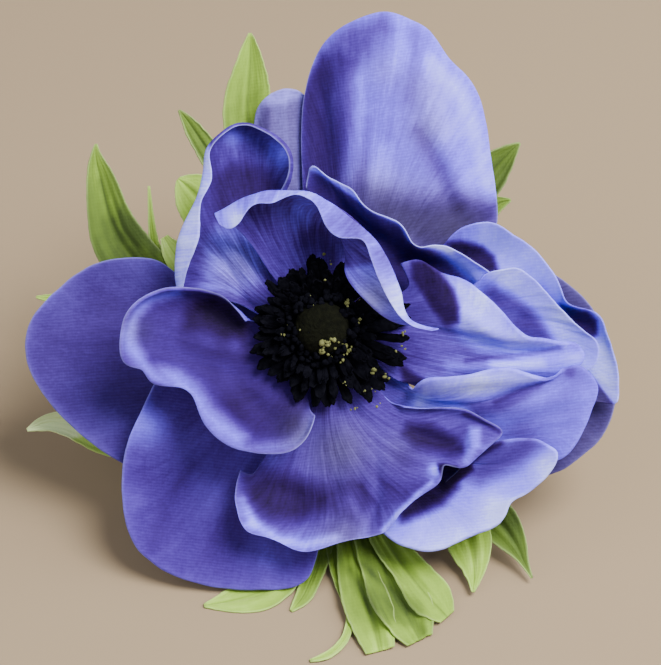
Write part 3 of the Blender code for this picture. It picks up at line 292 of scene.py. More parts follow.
# Looks of each petal: tone 0 (near-black violet) to 1 (pale lavender), and soft spots (x, y, radius, change),
# bands (width, change, line) and folds (lift in mm, width, line) on the drawing sheet. The tone is the petal's own
# colour with painted light and shade in it. Each petal's base tone is partly lighter or darker by how light falls on
# it.
# Its areas (tone, blur, outline), spots and bands paint cast shadows, shaded hollows and gaps, and lit ridges and
# highlights.
# The rim and edge numbers paint a highlight along the cut edge. The third channel greys and darkens the colour, as a
# grey tint and as painted shade. The back tone is the back's own paler colour, with painted shade and light from its
# spots and areas.
LOOKS = {
    "petal_top": dict(mesh=(150, 120), tone=0.655, claw=0.25, roll=(0.16, 95, 0.3, 0.85), back=0.7, threads=10, streaks=0.35,
        # painted light and shade: the lit right flank and ridge, the shaded left fold and its shadow, and the shadow
        # over the foot of the petal
        areas=[
            (0.74, 14, [(420, 60), (450, 70), (482, 115), (494, 190), (470, 200), (445, 160), (425, 100)]),
            (0.48, 12, [(318, 50), (345, 28), (385, 16), (392, 30), (372, 50), (358, 72), (344, 80), (330, 78)]),
            (0.34, 8, [(322, 58), (340, 52), (356, 62), (350, 78), (338, 92), (330, 105), (322, 90)]),
            (0.57, 18, [(325, 120), (350, 130), (362, 160), (360, 190), (335, 200), (325, 160)]),
            (0.40, 9, [(328, 74), (350, 66), (356, 90), (353, 120), (347, 150), (338, 184), (326, 184), (326, 120)]),
            (0.22, 10, [(302, 195), (301, 130), (302, 92), (312, 68), (324, 58), (331, 75), (327, 105), (330, 140), (337, 175), (340, 200)]),
            (0.30, 18, [(335, 196), (360, 184), (400, 194), (450, 200), (500, 200), (500, 250), (440, 260), (400, 240), (350, 215)])],
        bands=[(9, 0.14, [(430, 60), (462, 95), (480, 150), (490, 195)]), (9, 0.05, [(398, 22), (404, 44), (396, 70)]), (8, -0.08, [(412, 30), (418, 60), (408, 100)]), (10, -0.17, [(418, 132), (436, 160), (458, 205)]), (14, 0.05, [(358, 70), (356, 100), (360, 140)]), (9, 0.10, [(386, 150), (378, 175), (372, 200)]), (6, -0.10, [(368, 120), (366, 150), (360, 185)]), (7, 0.03, [(398, 24), (404, 40), (398, 60)])],
        grey_tint_and_shade_spots=[(430, 90, 24, 0.35), (432, 128, 22, 0.45), (370, 190, 26, 0.4), (385, 70, 18, 0.2), (400, 225, 40, 0.7), (460, 230, 34, 0.7)],
        folds=[(-0.9, 12, [(316, 62), (318, 120), (324, 200)]), (0.6, 14, [(346, 50), (346, 110), (352, 180)]), (-0.35, 9, [(420, 120), (436, 165), (452, 215)]), (0.3, 9, [(434, 110), (452, 160), (470, 215)])]),
    "petal_back_left": dict(tone=0.52, claw=0.05, rim=0.3, grey_tint_and_shade=0.6, areas=[(0.74, 5, [(262, 96), (290, 88), (300, 96), (285, 104), (266, 106)])], bands=[(4, -0.12, [(267, 110), (266, 180)])], folds=[(0.5, 8, [(268, 105), (268, 185)])]),
    "petal_upper_left": dict(mesh=(130, 110), tone=0.38, claw=0.0, back=0.95, rim=0.3,
        back_areas=[(0.42, 3, [(211, 158), (206, 118), (320, 105), (320, 215), (245, 215), (222, 190)])], streaks=0.5,
        areas=[
            (0.16, 9, [(214, 178), (232, 163), (262, 168), (278, 184), (272, 202), (240, 205), (214, 220)]),
            (0.62, 10, [(215, 226), (240, 222), (262, 240), (262, 285), (235, 296), (200, 290), (203, 250)]),
            (0.44, 8, [(214, 145), (228, 132), (250, 128), (262, 138), (246, 152), (222, 165)])],
        spots=[(232, 138, 10, 0.2), (222, 262, 10, 0.08), (281, 154, 14, 0.36)],
        grey_tint_and_shade_spots=[(235, 265, 26, 0.5)],
        streak_areas=[(1.0, 12, [(200, 225), (262, 225), (268, 300), (195, 300)])],
        folds=[(0.4, 5, [(225, 235), (262, 300)]), (-0.3, 4, [(212, 240), (250, 305)]), (0.4, 4, [(238, 228), (275, 290)])]),
    "petal_left": dict(tone=0.35, grey_tint_and_shade=0.15, claw=0.05, roll=(0.18, 95, 0.1, 0.9), threads=4, streaks=0.12,
        spots=[(66, 306, 26, 0.11), (135, 272, 26, 0.12), (110, 425, 26, 0.10), (50, 380, 22, 0.03), (100, 300, 26, -0.03)],
        folds=[(0.4, 14, [(40, 340), (100, 330), (160, 320)]), (-0.4, 14, [(60, 400), (110, 380), (160, 350)])]),
    "petal_lower_left": dict(mesh=(130, 96), tone=0.385, claw=0.0, roll=(0.23, 95, 0.08, 0.95), threads=-6, streaks=0.16,
        spots=[(146, 426, 22, 0.30), (270, 560, 26, 0.13), (192, 445, 20, 0.06), (175, 450, 26, 0.04), (215, 500, 22, 0.10), (200, 555, 24, -0.04), (280, 560, 20, -0.02), (135, 500, 14, 0.10)],
        bands=[(10, 0.03, [(250, 460), (215, 500), (190, 570)]), (8, -0.05, [(200, 450), (170, 500), (150, 550)])],
        folds=[(0.5, 12, [(250, 450), (215, 500), (190, 575)]), (-0.5, 12, [(200, 430), (165, 490), (145, 545)]), (0.4, 10, [(290, 480), (270, 540), (260, 585)])]),
    "petal_inner_left": dict(mesh=(140, 100), tone=0.32, claw=0.1, roll=(0.36, 95, 0.08, 0.95), threads=5, rim=0.16, streaks=0.16,
        # painted light and shade: the dark hollow inside the cup and the lit rim on its left and lower side
        areas=[
            (0.05, 9, [(186, 306), (196, 300), (214, 295), (236, 306), (249, 330), (244, 346), (222, 342), (200, 332), (182, 330)]),
            (0.0, 7, [(196, 304), (214, 298), (234, 306), (246, 326), (242, 338), (224, 334), (206, 322)]),
            (0.18, 12, [(222, 400), (242, 378), (270, 395), (300, 400), (304, 425), (280, 440), (246, 432)]),
            (0.70, 7, [(150, 380), (124, 352), (120, 335), (134, 306), (150, 294), (180, 288), (182, 295), (154, 302), (138, 318), (136, 340), (150, 366), (165, 382)]),
            (0.74, 12, [(160, 368), (180, 372), (198, 386), (212, 408), (230, 422), (246, 436), (242, 450), (214, 436), (198, 418), (190, 400), (172, 390)]),
            (0.58, 9, [(288, 440), (302, 428), (312, 405), (319, 410), (312, 432), (296, 452), (280, 453), (262, 452), (246, 448), (262, 444)])],
        spots=[(180, 352, 12, 0.05), (236, 344, 9, 0.24), (210, 336, 12, 0.08)],
        bands=[(9, -0.08, [(212, 370), (222, 392), (238, 420)]), (8, -0.10, [(186, 344), (210, 352), (244, 352)])],
        grey_tint_and_shade_spots=[(300, 432, 22, 0.7), (135, 330, 16, 0.4)],
        folds=[(0.8, 9, [(205, 392), (222, 416), (250, 440)]), (-0.8, 12, [(235, 385), (262, 412), (285, 430)]), (-0.8, 14, [(190, 312), (215, 312), (240, 330)])]),
    "petal_inner_top": dict(mesh=(190, 130), tone=0.44, claw=0.06, back=0.74, streaks=0.8,
        areas=[
            (0.24, 8, [(322, 222), (340, 240), (345, 262), (335, 262), (318, 250), (300, 246), (300, 232)]),
            (0.70, 4, [(343, 268), (350, 262), (372, 262), (386, 290), (404, 318), (436, 330), (402, 327), (378, 312), (358, 294)]),
            (0.42, 5, [(338, 246), (356, 244), (374, 262), (360, 266), (344, 268), (336, 258)])],
        spots=[(255, 228, 16, -0.06), (300, 203, 22, 0.17), (330, 238, 18, 0.08), (290, 228, 12, 0.05)],
        grey_tint_and_shade_spots=[(375, 298, 20, 0.7)],
        back_spots=[(400, 300, 22, 0.25), (386, 264, 18, -0.22), (350, 222, 22, -0.14), (240, 222, 12, 0.32), (300, 196, 14, 0.05)]),
    "petal_upper_right": dict(mesh=(140, 84), tone=0.25, claw=0.05, rim=0.5, edge=0.30, back=0.5, streaks=0.2,
        # painted shade over the inner side in shadow, and a painted highlight along the lit rim
        areas=[
            (0.17, 7, [(385, 238), (420, 246), (440, 262), (455, 285), (430, 290), (400, 268)]),
            (0.22, 6, [(318, 176), (345, 196), (378, 222), (400, 240), (372, 232), (340, 210), (318, 190)]),
            (0.88, 7, [(430, 245), (450, 247), (470, 258), (490, 272), (478, 288), (462, 274), (446, 258)])],
        bands=[(3, 0.38, [(312, 168), (325, 175), (342, 187), (357, 197), (375, 209), (402, 223), (410, 239), (419, 247), (437, 245), (452, 249)])]),
    # painted shade: the whole petal is darker and greyer, lying in shade behind the others
    "petal_right_back": dict(tone=0.36, grey_tint_and_shade=0.6, claw=0.0, roll=(0.18, 95, 0.1, 0.9)),
    "petal_right_outer": dict(mesh=(150, 96), tone=0.84, rim=0.0, claw=0.1, roll=(0.2, 60, 0.06, 0.94), edge=0.0, streaks=0.2,
        # painted light and shade: dark hollows under the rolled rim, and a lit right end
        areas=[
            (0.08, 5, [(444, 242), (462, 241), (482, 246), (494, 256), (499, 273), (486, 273), (468, 260), (450, 250)]),
            (0.14, 4, [(560, 304), (574, 308), (588, 311), (597, 320), (598, 335), (590, 339), (580, 332), (568, 318)]),
            (0.98, 8, [(592, 345), (606, 332), (614, 350), (620, 375), (619, 402), (600, 385), (588, 365)]),
            # painted shade: the shadowed corner of the petal behind, painted onto this petal's end in place of its
            # shape
            (0.34, 2, [(583, 366), (591, 375), (600, 386), (613, 403), (612, 412), (588, 412), (586, 388)])],
        grey_tint_and_shade_spots=[(600, 400, 12, 0.6)],
        spots=[(485, 229, 20, 0.06), (530, 262, 24, 0.06), (455, 236, 10, -0.15), (470, 228, 16, -0.12)],
        bands=[(4, -0.10, [(540, 285), (556, 302)])]),
    "petal_right_mid": dict(mesh=(130, 90), tone=0.86, rim=0.0, claw=0.2, roll=(0.2, 60, 0.06, 0.94), edge=0.0, streaks=0.2,
        areas=[(0.37, 8, [(482, 292), (494, 285), (510, 294), (530, 308), (544, 324), (556, 345), (545, 343), (520, 340), (500, 318)])],
        spots=[(505, 273, 16, 0.12), (562, 318, 16, 0.12), (510, 316, 9, 0.10), (484, 284, 9, -0.18), (575, 335, 12, 0.05)]),
    "petal_right_inner": dict(mesh=(160, 110), tone=0.50, rim=0.0, claw=0.12, roll=(0.4, 95, 0.1, 0.93), streaks=0.35,
        # painted light and shade: the lit ridge, the shadow cast on it by the petal above, and shaded creases
        areas=[
            (0.88, 9, [(442, 274), (462, 279), (482, 288), (500, 304), (516, 328), (532, 338), (564, 345), (540, 352), (505, 352), (478, 344), (458, 330), (454, 300)]),
            (0.10, 5, [(412, 262), (426, 260), (440, 272), (453, 290), (459, 308), (458, 322), (446, 324), (434, 312), (424, 296), (412, 278)]),
            (0.78, 9, [(462, 336), (490, 344), (520, 350), (565, 346), (560, 354), (520, 356), (480, 352)]),
            (0.42, 5, [(396, 270), (408, 276), (422, 300), (434, 318), (420, 326), (404, 318)]),
            (0.10, 4, [(400, 364), (412, 372), (428, 382), (420, 392), (404, 384)]),
            (0.74, 7, [(490, 360), (530, 357), (584, 350), (588, 364), (560, 374), (520, 376), (490, 370)])],
        spots=[(485, 292, 16, 0.10), (520, 343, 14, 0.06), (575, 353, 12, 0.14), (415, 358, 16, -0.06)],
        bands=[(2.8, -0.20, [(466, 361), (490, 358), (520, 355), (560, 348)]), (6, 0.16, [(450, 366), (480, 366), (540, 362)])],
        streak_areas=[(0.75, 20, [(400, 325), (460, 330), (520, 345), (520, 370), (430, 372), (400, 360)])],
        folds=[(0.5, 8, [(440, 300), (470, 318), (510, 345), (560, 347)]), (-0.35, 6, [(450, 358), (500, 357), (555, 350)]), (0.4, 7, [(440, 372), (500, 366), (570, 358)])]),
    "petal_lower_right": dict(mesh=(160, 110), tone=0.61, rim=0.0, claw=0.15, roll=(0.4, 95, 0.06, 0.95), streaks=0.25,
        areas=[
            (0.90, 8, [(424, 388), (440, 380), (470, 374), (500, 369), (522, 372), (545, 381), (520, 385), (495, 394), (470, 398), (440, 396)]),
            (0.84, 7, [(408, 412), (416, 394), (426, 384), (434, 390), (428, 404), (424, 412)]),
            (0.38, 7, [(462, 404), (500, 402), (520, 395), (540, 388), (500, 412), (476, 416)]),
            # painted shade: a dark gap between the petals
            (0.04, 5, [(425, 425), (470, 446), (482, 480), (440, 492), (420, 470)]),
            (0.78, 8, [(430, 402), (455, 400), (468, 408), (450, 416), (425, 414)])],
        spots=[(480, 381, 16, 0.1), (585, 395, 12, 0.08), (575, 380, 12, -0.05), (570, 372, 6, -0.18), (560, 435, 16, 0.06), (524, 436, 16, -0.14), (545, 400, 20, 0.05)],
        bands=[(3.4, -0.22, [(496, 402), (515, 393), (535, 385), (546, 381)])],
        grey_tint_and_shade_spots=[(422, 395, 14, 0.5)],
        folds=[(0.5, 8, [(425, 386), (470, 378), (530, 378)]), (-0.35, 6, [(480, 404), (515, 393), (548, 383)]), (0.5, 10, [(500, 412), (550, 400), (590, 390)])]),
    "petal_bottom_right": dict(mesh=(150, 96), tone=0.79, rim=0.05,
        # painted shade: the back is near-black where it shows through a fold
        back_areas=[(0.03, 5, [(420, 445), (480, 445), (486, 475), (450, 498), (420, 490)])], claw=0.2, roll=(0.32, 95, 0.06, 0.94), streaks=0.2,
        areas=[
            (0.43, 12, [(462, 476), (492, 446), (530, 434), (545, 446), (520, 466), (480, 486)]),
            # painted shade: a dark gap and a hollow between the petals
            (0.03, 3, [(430, 455), (466, 452), (474, 470), (450, 488), (430, 484)]),
            (0.05, 8, [(398, 512), (420, 488), (446, 478), (458, 486), (442, 505), (418, 516), (402, 522)])],
        spots=[(495, 510, 20, 0.2), (545, 468, 14, 0.16), (452, 540, 20, 0.08), (430, 540, 22, 0.06), (392, 532, 10, -0.05)],
        bands=[(4, -0.45, [(445, 482), (462, 466), (480, 453), (500, 442)])],
        folds=[(-1.0, 10, [(405, 515), (430, 495), (450, 485)]), (0.5, 12, [(420, 535), (470, 510), (530, 480)])]),
    "petal_bottom_inner": dict(mesh=(170, 120), tone=0.44, rim=0.12, claw=0.05, roll=(0.23, 95, 0.06, 0.5), streaks=0.52,
        areas=[
            (0.44, 12, [(318, 424), (346, 424), (366, 450), (362, 476), (332, 480), (312, 458)]),
            # painted shade: dark hollows under folds and a dark gap
            (0.10, 13, [(244, 482), (262, 470), (300, 478), (335, 492), (335, 508), (300, 522), (268, 520), (248, 505)]),
            (0.12, 7, [(408, 424), (432, 424), (458, 440), (467, 452), (452, 456), (432, 453), (414, 448), (402, 435)]),
            (0.03, 2, [(437, 463), (456, 466), (460, 471), (446, 484), (441, 476)]),
            (0.70, 4, [(469, 426), (481, 428), (480, 446), (468, 466), (463, 462)]),
            (0.32, 8, [(380, 480), (425, 484), (410, 500), (385, 510)]),
            (0.30, 6, [(335, 482), (362, 480), (372, 500), (360, 525), (340, 520)])],
        grey_tint_and_shade_spots=[(340, 450, 30, 0.7), (345, 535, 24, 0.5), (400, 450, 20, 0.3)],
        spots=[(300, 535, 16, 0.10), (250, 526, 12, 0.10), (435, 470, 7, 0.45), (402, 462, 14, -0.12), (320, 405, 14, -0.12)],
        bands=[(6, 0.30, [(243, 500), (254, 524), (280, 540), (305, 545), (335, 538)]), (6, 0.07, [(350, 500), (362, 520), (366, 533)]), (3, -0.12, [(362, 486), (378, 505), (380, 525)]), (3, 0.30, [(384, 530), (400, 511), (420, 492), (432, 483)]), (3, -0.25, [(465, 414), (485, 422), (500, 432)])],
        folds=[(-0.8, 8, [(405, 430), (440, 442), (465, 450)]), (0.7, 6, [(466, 462), (474, 445), (474, 428)]), (-0.7, 14, [(270, 485), (300, 500), (330, 500)]), (0.5, 10, [(345, 420), (350, 470), (345, 535)]), (-0.4, 7, [(375, 440), (378, 490), (368, 530)])]),
}
FRINGE_SHIFT = 0.19
# Tone changes per bract lobe, and areas and bands on the bracts: partly the leaves' own colour and partly painted light
# and shade, with dark bands down the valleys of the front bract's pleats and a pale patch on the left bract's tip that
# lifts it out of the bloom's shadow.
LEAF_TONES = {("bract_left", 0): -0.2, ("bract_left", 1): -0.48, ("bract_left", 2): -0.06, ("bract_left", 3): -0.44, ("bract_left", 4): -0.2, ("bract_left", 5): -0.02, ("bract_left", 6): -0.1, ("bract_left", 7): 0.1,
    ("bract_front", 0): -0.1, ("bract_front", 1): -0.18, ("bract_front", 2): -0.1, ("bract_front", 3): -0.26, ("bract_front", 4): -0.30, ("bract_front", 5): -0.22,
    ("bract_right", 0): -0.16, ("bract_right", 1): -0.46, ("bract_right", 2): -0.55, ("bract_right", 3): -0.42}
LEAF_AREAS = {
    "bract_left": [(0.9, 6, [(20, 440), (40, 408), (70, 405), (90, 430), (60, 440)]), (0.12, 6, [(95, 140), (105, 170), (112, 215), (100, 215), (90, 170)]), (-0.15, 8, [(120, 210), (140, 230), (140, 262), (118, 250)]), (0.15, 5, [(160, 235), (178, 250), (176, 270), (160, 262)])],
    "bract_front": [(0.16, 8, [(340, 545), (365, 545), (365, 575), (345, 580)]), (-0.2, 7, [(366, 585), (400, 600), (410, 625), (385, 622), (370, 610)]), (-0.22, 5, [(395, 585), (420, 605), (432, 622), (410, 612)]), (0.2, 6, [(372, 632), (392, 630), (392, 652), (372, 654)]), (-0.15, 6, [(290, 595), (310, 575), (316, 555), (330, 555), (322, 590), (298, 612)])],
    "bract_right": [(0.12, 6, [(455, 545), (480, 535), (485, 555), (470, 575)]), (-0.15, 6, [(500, 515), (520, 510), (530, 575), (512, 550)])],
}
LEAF_BANDS = {
    "bract_front": [(4, -0.22, [(350, 570), (366, 600), (384, 645)]), (4, -0.22, [(362, 565), (395, 595), (424, 632)]), (4, 0.04, [(356, 560), (378, 600), (402, 640)])],
    "bract_left": [(3, -0.15, [(100, 180), (116, 230), (150, 268)]), (3, 0.12, [(110, 200), (122, 232), (150, 258)])],
}
LEAF_FOLDS = {
    "bract_front": [(0.9, 5, [(352, 560), (372, 600), (392, 645)]), (0.9, 5, [(372, 556), (402, 590), (432, 625)])],
}
FLOOR_COLOUR = (0.240, 0.178, 0.111, 1)
WORLD_LIGHT = 0.5
LIGHTS = [
    ("key_light", (0.32, -0.18, 0.70), 0.42, 16.6, (1.0, 0.985, 0.97)),
    ("fill_light", (-0.7, -0.4, 0.6), 0.9, 5.2, (0.97, 0.975, 1.0)),
    ("side_light", (0.58, -0.06, 0.36), 0.55, 5.0, (0.99, 0.99, 1.0)),
]

# ---------------------------------------------------------------- fine geometry
def to_sheet(q):
    k = 1 - q[..., 2] / EYE_MM
    return np.stack([q[..., 0] / UNIT_MM / k + SHEET_MID[0], SHEET_MID[1] - q[..., 1] / UNIT_MM / k], -1)


def normals_of(P):
    n = np.cross(np.gradient(P, axis=1), np.gradient(P, axis=0))
    return n / np.maximum(np.linalg.norm(n, axis=2, keepdims=True), 1e-9)


def smooth(x, lo, hi):
    f = np.clip((np.asarray(x, float) - lo) / (hi - lo), 0, 1)
    return f * f * (3 - 2 * f)


def to_line(xy, line):
    """Distance from each sheet point to a polyline, and how far along it the nearest point is, 0 to 1."""
    line = np.array(line, float)
    best = np.full(xy.shape[:-1], 1e9)
    along = np.zeros(xy.shape[:-1])
    L = lengths(line)
    for a, b, la, lb in zip(line[:-1], line[1:], L[:-1], L[1:]):
        d = b - a
        f = np.clip(((xy - a) @ d) / (d @ d), 0, 1)
        dist = np.linalg.norm(xy - (a + f[..., None] * d), axis=-1)
        near = dist < best
        best = np.where(near, dist, best)
        along = np.where(near, (la + f * (lb - la)) / L[-1], along)
    return best, along


def grain(P, scale, seed, stretch=(1, 1, 1)):
    out = np.empty(P.shape[:-1])
    flat, o = P.reshape(-1, 3), out.reshape(-1)
    off = Vector((seed * 7.31, seed * 3.17, seed * 1.93))
    for i, p in enumerate(flat):
        o[i] = noise.noise(Vector((p[0] * scale * stretch[0], p[1] * scale * stretch[1], p[2] * scale * stretch[2])) + off)
    return out


def shell(P, thick):
    """A closed shell about a surface: its points, the front ones first and the back ones after, and its faces."""
    nt, ns, _ = P.shape
    n = normals_of(P)
    half = (np.broadcast_to(thick, (nt, ns)) / 2)[..., None]
    V = np.concatenate([(P + n * half).reshape(-1, 3), (P - n * half).reshape(-1, 3)])
    o = nt * ns
    a = (np.arange(nt - 1)[:, None] * ns + np.arange(ns - 1)[None]).reshape(-1)
    quads = np.concatenate([np.stack([a, a + 1, a + ns + 1, a + ns], 1), np.stack([o + a, o + a + ns, o + a + ns + 1, o + a + 1], 1)])
    ring = list(range(ns)) + [i * ns + ns - 1 for i in range(1, nt)] + [(nt - 1) * ns + j for j in range(ns - 2, -1, -1)] + [i * ns for i in range(nt - 2, 0, -1)]
    rim = np.array([(a, o + a, o + b, b) for a, b in zip(ring, ring[1:] + ring[:1])])
    return V, np.concatenate([quads, rim])


def piece(name, V, F, data, uv, material, slot, node=None, flat=None, threads=8):
    """A mesh piece: data holds tone (colour with painted light and shade in it), rim (a pale edge, on petals a painted
    highlight), a grey tint that is partly painted shade, and streaks per point, uv runs across and along.
    """
    mesh = bpy.data.meshes.new(name)
    mesh.from_pydata([], [], [])
    mesh.vertices.add(len(V))
    mesh.vertices.foreach_set("co", (to_room(V) / 1000 if flat is None else V / 1000).astype(np.float32).reshape(-1))
    F = np.asarray(F)
    sides = F.shape[1]
    mesh.loops.add(F.size)
    mesh.loops.foreach_set("vertex_index", F.reshape(-1).astype(np.int32))
    mesh.polygons.add(len(F))
    mesh.polygons.foreach_set("loop_start", (np.arange(len(F)) * sides).astype(np.int32))
    mesh.polygons.foreach_set("use_smooth", np.ones(len(F), bool))
    mesh.update(calc_edges=True)
    layer = mesh.uv_layers.new(name="UVMap")
    layer.data.foreach_set("uv", uv[F.reshape(-1)].astype(np.float32).reshape(-1))
    # straight threads: the cloth laid flat, turned by the thread angle
    cloth = (to_sheet(V) if flat is None else V[:, :2] / UNIT_MM) * UNIT_MM / 100
    c, s = math.cos(math.radians(threads)), math.sin(math.radians(threads))
    cloth = np.stack([cloth[:, 0] * c - cloth[:, 1] * s, cloth[:, 0] * s + cloth[:, 1] * c], -1)
    layer = mesh.uv_layers.new(name="Weave")
    layer.data.foreach_set("uv", cloth[F.reshape(-1)].astype(np.float32).reshape(-1))
    if data.shape[1] == 3:
        data = np.concatenate([data, np.full((len(V), 1), 0.4)], 1)
    attribute = mesh.attributes.new("look", "FLOAT_COLOR", "POINT")
    attribute.data.foreach_set("color", data.astype(np.float32).reshape(-1))
    mesh.materials.append(material)
    obj = bpy.data.objects.new(name, mesh)
    bpy.context.scene.collection.objects.link(obj)
    mesh.validate()
    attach(obj, "root")
    if node:
        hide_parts(node)
    return obj


def merged(parts):
    """Several (V, F, data, uv) as one."""
    V, F, D, U, o = [], [], [], [], 0
    for v, f, d, u in parts:
        V.append(v); F.append(np.asarray(f) + o); D.append(d); U.append(u)
        o += len(v)
    return np.concatenate(V), np.concatenate(F), np.concatenate(D), np.concatenate(U)


# ---------------------------------------------------------------- materials
def nodes_for(name):
    material = bpy.data.materials.new(name)
    material.use_nodes = True
    tree = material.node_tree
    return material, tree, tree.nodes["Principled BSDF"]


class Net:
    """Short hands for node trees."""

    def __init__(self, tree):
        self.t = tree

    def add(self, kind, **sets):
        node = self.t.nodes.new(kind)
        for key, value in sets.items():
            setattr(node, key, value)
        return node

    def put(self, socket, value):
        if hasattr(value, "is_output") and value.is_output:
            self.t.links.new(value, socket)
        else:
            socket.default_value = value

    def math(self, op, a, b=0.0, clamp=False):
        node = self.add("ShaderNodeMath", operation=op, use_clamp=clamp)
        self.put(node.inputs[0], a)
        self.put(node.inputs[1], b)
        return node.outputs[0]

    def mix(self, f, a, b):
        node = self.add("ShaderNodeMix", data_type="RGBA")
        self.put(node.inputs[0], f)
        self.put(node.inputs[6], a)
        self.put(node.inputs[7], b)
        return node.outputs[2]

    def ramp(self, f, stops):
        node = self.add("ShaderNodeValToRGB")
        r = node.color_ramp
        while len(r.elements) < len(stops):
            r.elements.new(0.5)
        for e, (p, c) in zip(r.elements, stops):
            e.position, e.color = p, (*c, 1)
        self.put(node.inputs[0], f)
        return node.outputs[0]

    def scaled(self, source, scale):
        node = self.add("ShaderNodeMapping")
        self.t.links.new(source, node.inputs["Vector"])
        node.inputs["Scale"].default_value = scale
        return node.outputs[0]

    def noise(self, vector, scale, detail=3.0, rough=0.5):
        node = self.add("ShaderNodeTexNoise")
        self.t.links.new(vector, node.inputs["Vector"])
        node.inputs["Scale"].default_value = scale
        node.inputs["Detail"].default_value = detail
        node.inputs["Roughness"].default_value = rough
        return node.outputs["Fac"]

    def bump(self, height, strength, distance, normal=None):
        node = self.add("ShaderNodeBump")
        self.put(node.inputs["Height"], height)
        node.inputs["Strength"].default_value = strength
        node.inputs["Distance"].default_value = distance
        if normal is not None:
            self.t.links.new(normal, node.inputs["Normal"])
        return node.outputs["Normal"]

    def threads(self, vector, pitch, axis):
        """Bands of one thread each across the given axis."""
        split = self.add("ShaderNodeSeparateXYZ")
        self.t.links.new(vector, split.inputs[0])
        wave = self.math("SINE", self.math("MULTIPLY", split.outputs[axis], math.tau / pitch))
        return self.math("MULTIPLY_ADD", wave, 0.5)


PETAL_STOPS = [(0.0, (0.0045, 0.0012, 0.015)), (0.05, (0.0085, 0.0022, 0.028)), (0.15, (0.0145, 0.0040, 0.054)), (0.3, (0.025, 0.0085, 0.105)), (0.38, (0.035, 0.013, 0.155)), (0.5, (0.060, 0.030, 0.27)), (0.66, (0.098, 0.064, 0.57)), (0.75, (0.136, 0.102, 0.84)), (0.9, (0.232, 0.226, 0.94)), (1.0, (0.375, 0.415, 0.97))]


def petal_material():
    material, tree, shader = nodes_for("petal_fabric")
    n = Net(tree)
    uv = n.add("ShaderNodeUVMap", uv_map="UVMap").outputs[0]
    cloth = n.add("ShaderNodeUVMap", uv_map="Weave").outputs[0]
    look = n.add("ShaderNodeAttribute", attribute_name="look")
    split = n.add("ShaderNodeSeparateColor")
    tree.links.new(look.outputs["Color"], split.inputs[0])
    tone, rim, grey_tint_and_shade, streaky = split.outputs[0], split.outputs[1], split.outputs[2], look.outputs["Alpha"]
    streak = n.noise(n.scaled(uv, (10.0, 1.0, 1)), 9.0, 3.0, 0.6)
    fine = n.noise(n.scaled(uv, (34.0, 2.6, 1)), 9.0, 2.0, 0.5)
    mottle = n.noise(n.scaled(uv, (4.0, 3.0, 1)), 5.0, 4.0, 0.62)
    # UVs are hundredths of a metre times ten: 0.0046 is a thread of 0.46 mm
    wobble = n.add("ShaderNodeTexNoise")
    wobble.inputs["Scale"].default_value = 55.0
    wobble.inputs["Detail"].default_value = 2.0
    tree.links.new(cloth, wobble.inputs["Vector"])
    shift = n.add("ShaderNodeVectorMath", operation="MULTIPLY_ADD")
    tree.links.new(wobble.outputs["Color"], shift.inputs[0])
    shift.inputs[1].default_value = (0.004, 0.004, 0)
    tree.links.new(cloth, shift.inputs[2])
    cloth = shift.outputs[0]
    velvet = n.noise(cloth, 150.0, 3.0, 0.7)
    slub = n.noise(n.scaled(cloth, (6.0, 40.0, 1)), 9.0, 2.0, 0.5)
    weft = n.threads(cloth, 0.0046, 1)
    warp = n.threads(cloth, 0.0040, 0)
    cloth_mark = n.math("MULTIPLY", n.math("SUBTRACT", weft, 0.5), n.math("MULTIPLY", slub, 0.07))
    t = n.math("ADD", tone, n.math("MULTIPLY", n.math("MULTIPLY", n.math("SUBTRACT", streak, 0.5), 0.62), streaky))
    t = n.math("ADD", t, n.math("MULTIPLY", n.math("MULTIPLY", n.math("SUBTRACT", fine, 0.5), 0.34), streaky))
    t = n.math("ADD", t, n.math("MULTIPLY", n.math("SUBTRACT", mottle, 0.5), 0.20))
    t = n.math("ADD", t, n.math("MULTIPLY", n.math("SUBTRACT", velvet, 0.5), 0.16))
    t = n.math("ADD", t, cloth_mark)
    t = n.math("ADD", t, n.math("MULTIPLY", n.math("SUBTRACT", warp, 0.5), 0.006), clamp=True)
    colour = n.ramp(t, PETAL_STOPS)
    # the third channel greys and darkens the colour: a grey tint of the cloth and painted shade over shaded parts
    grey = n.add("ShaderNodeHueSaturation")
    grey.inputs["Saturation"].default_value = 0.64
    grey.inputs["Value"].default_value = 0.58
    tree.links.new(grey_tint_and_shade, grey.inputs["Fac"])
    tree.links.new(colour, grey.inputs["Color"])
    colour = grey.outputs[0]
    # painted highlight: pale blue along the cut edges, where the edge of the cloth catches light
    colour = n.mix(rim, colour, (0.40, 0.42, 0.95, 1))
    tree.links.new(colour, shader.inputs["Base Color"])
    rough = n.math("MULTIPLY_ADD", fine, 0.16)
    rough.node.inputs[2].default_value = 0.70
    tree.links.new(rough, shader.inputs["Roughness"])
    shader.inputs["Specular IOR Level"].default_value = 0.08
    height = n.math("ADD", n.math("MULTIPLY", weft, 0.6), n.math("MULTIPLY", warp, 0.4))
    first = n.bump(height, 0.05, 0.0001)
    tree.links.new(n.bump(streak, 0.25, 0.0006, first), shader.inputs["Normal"])
    return material


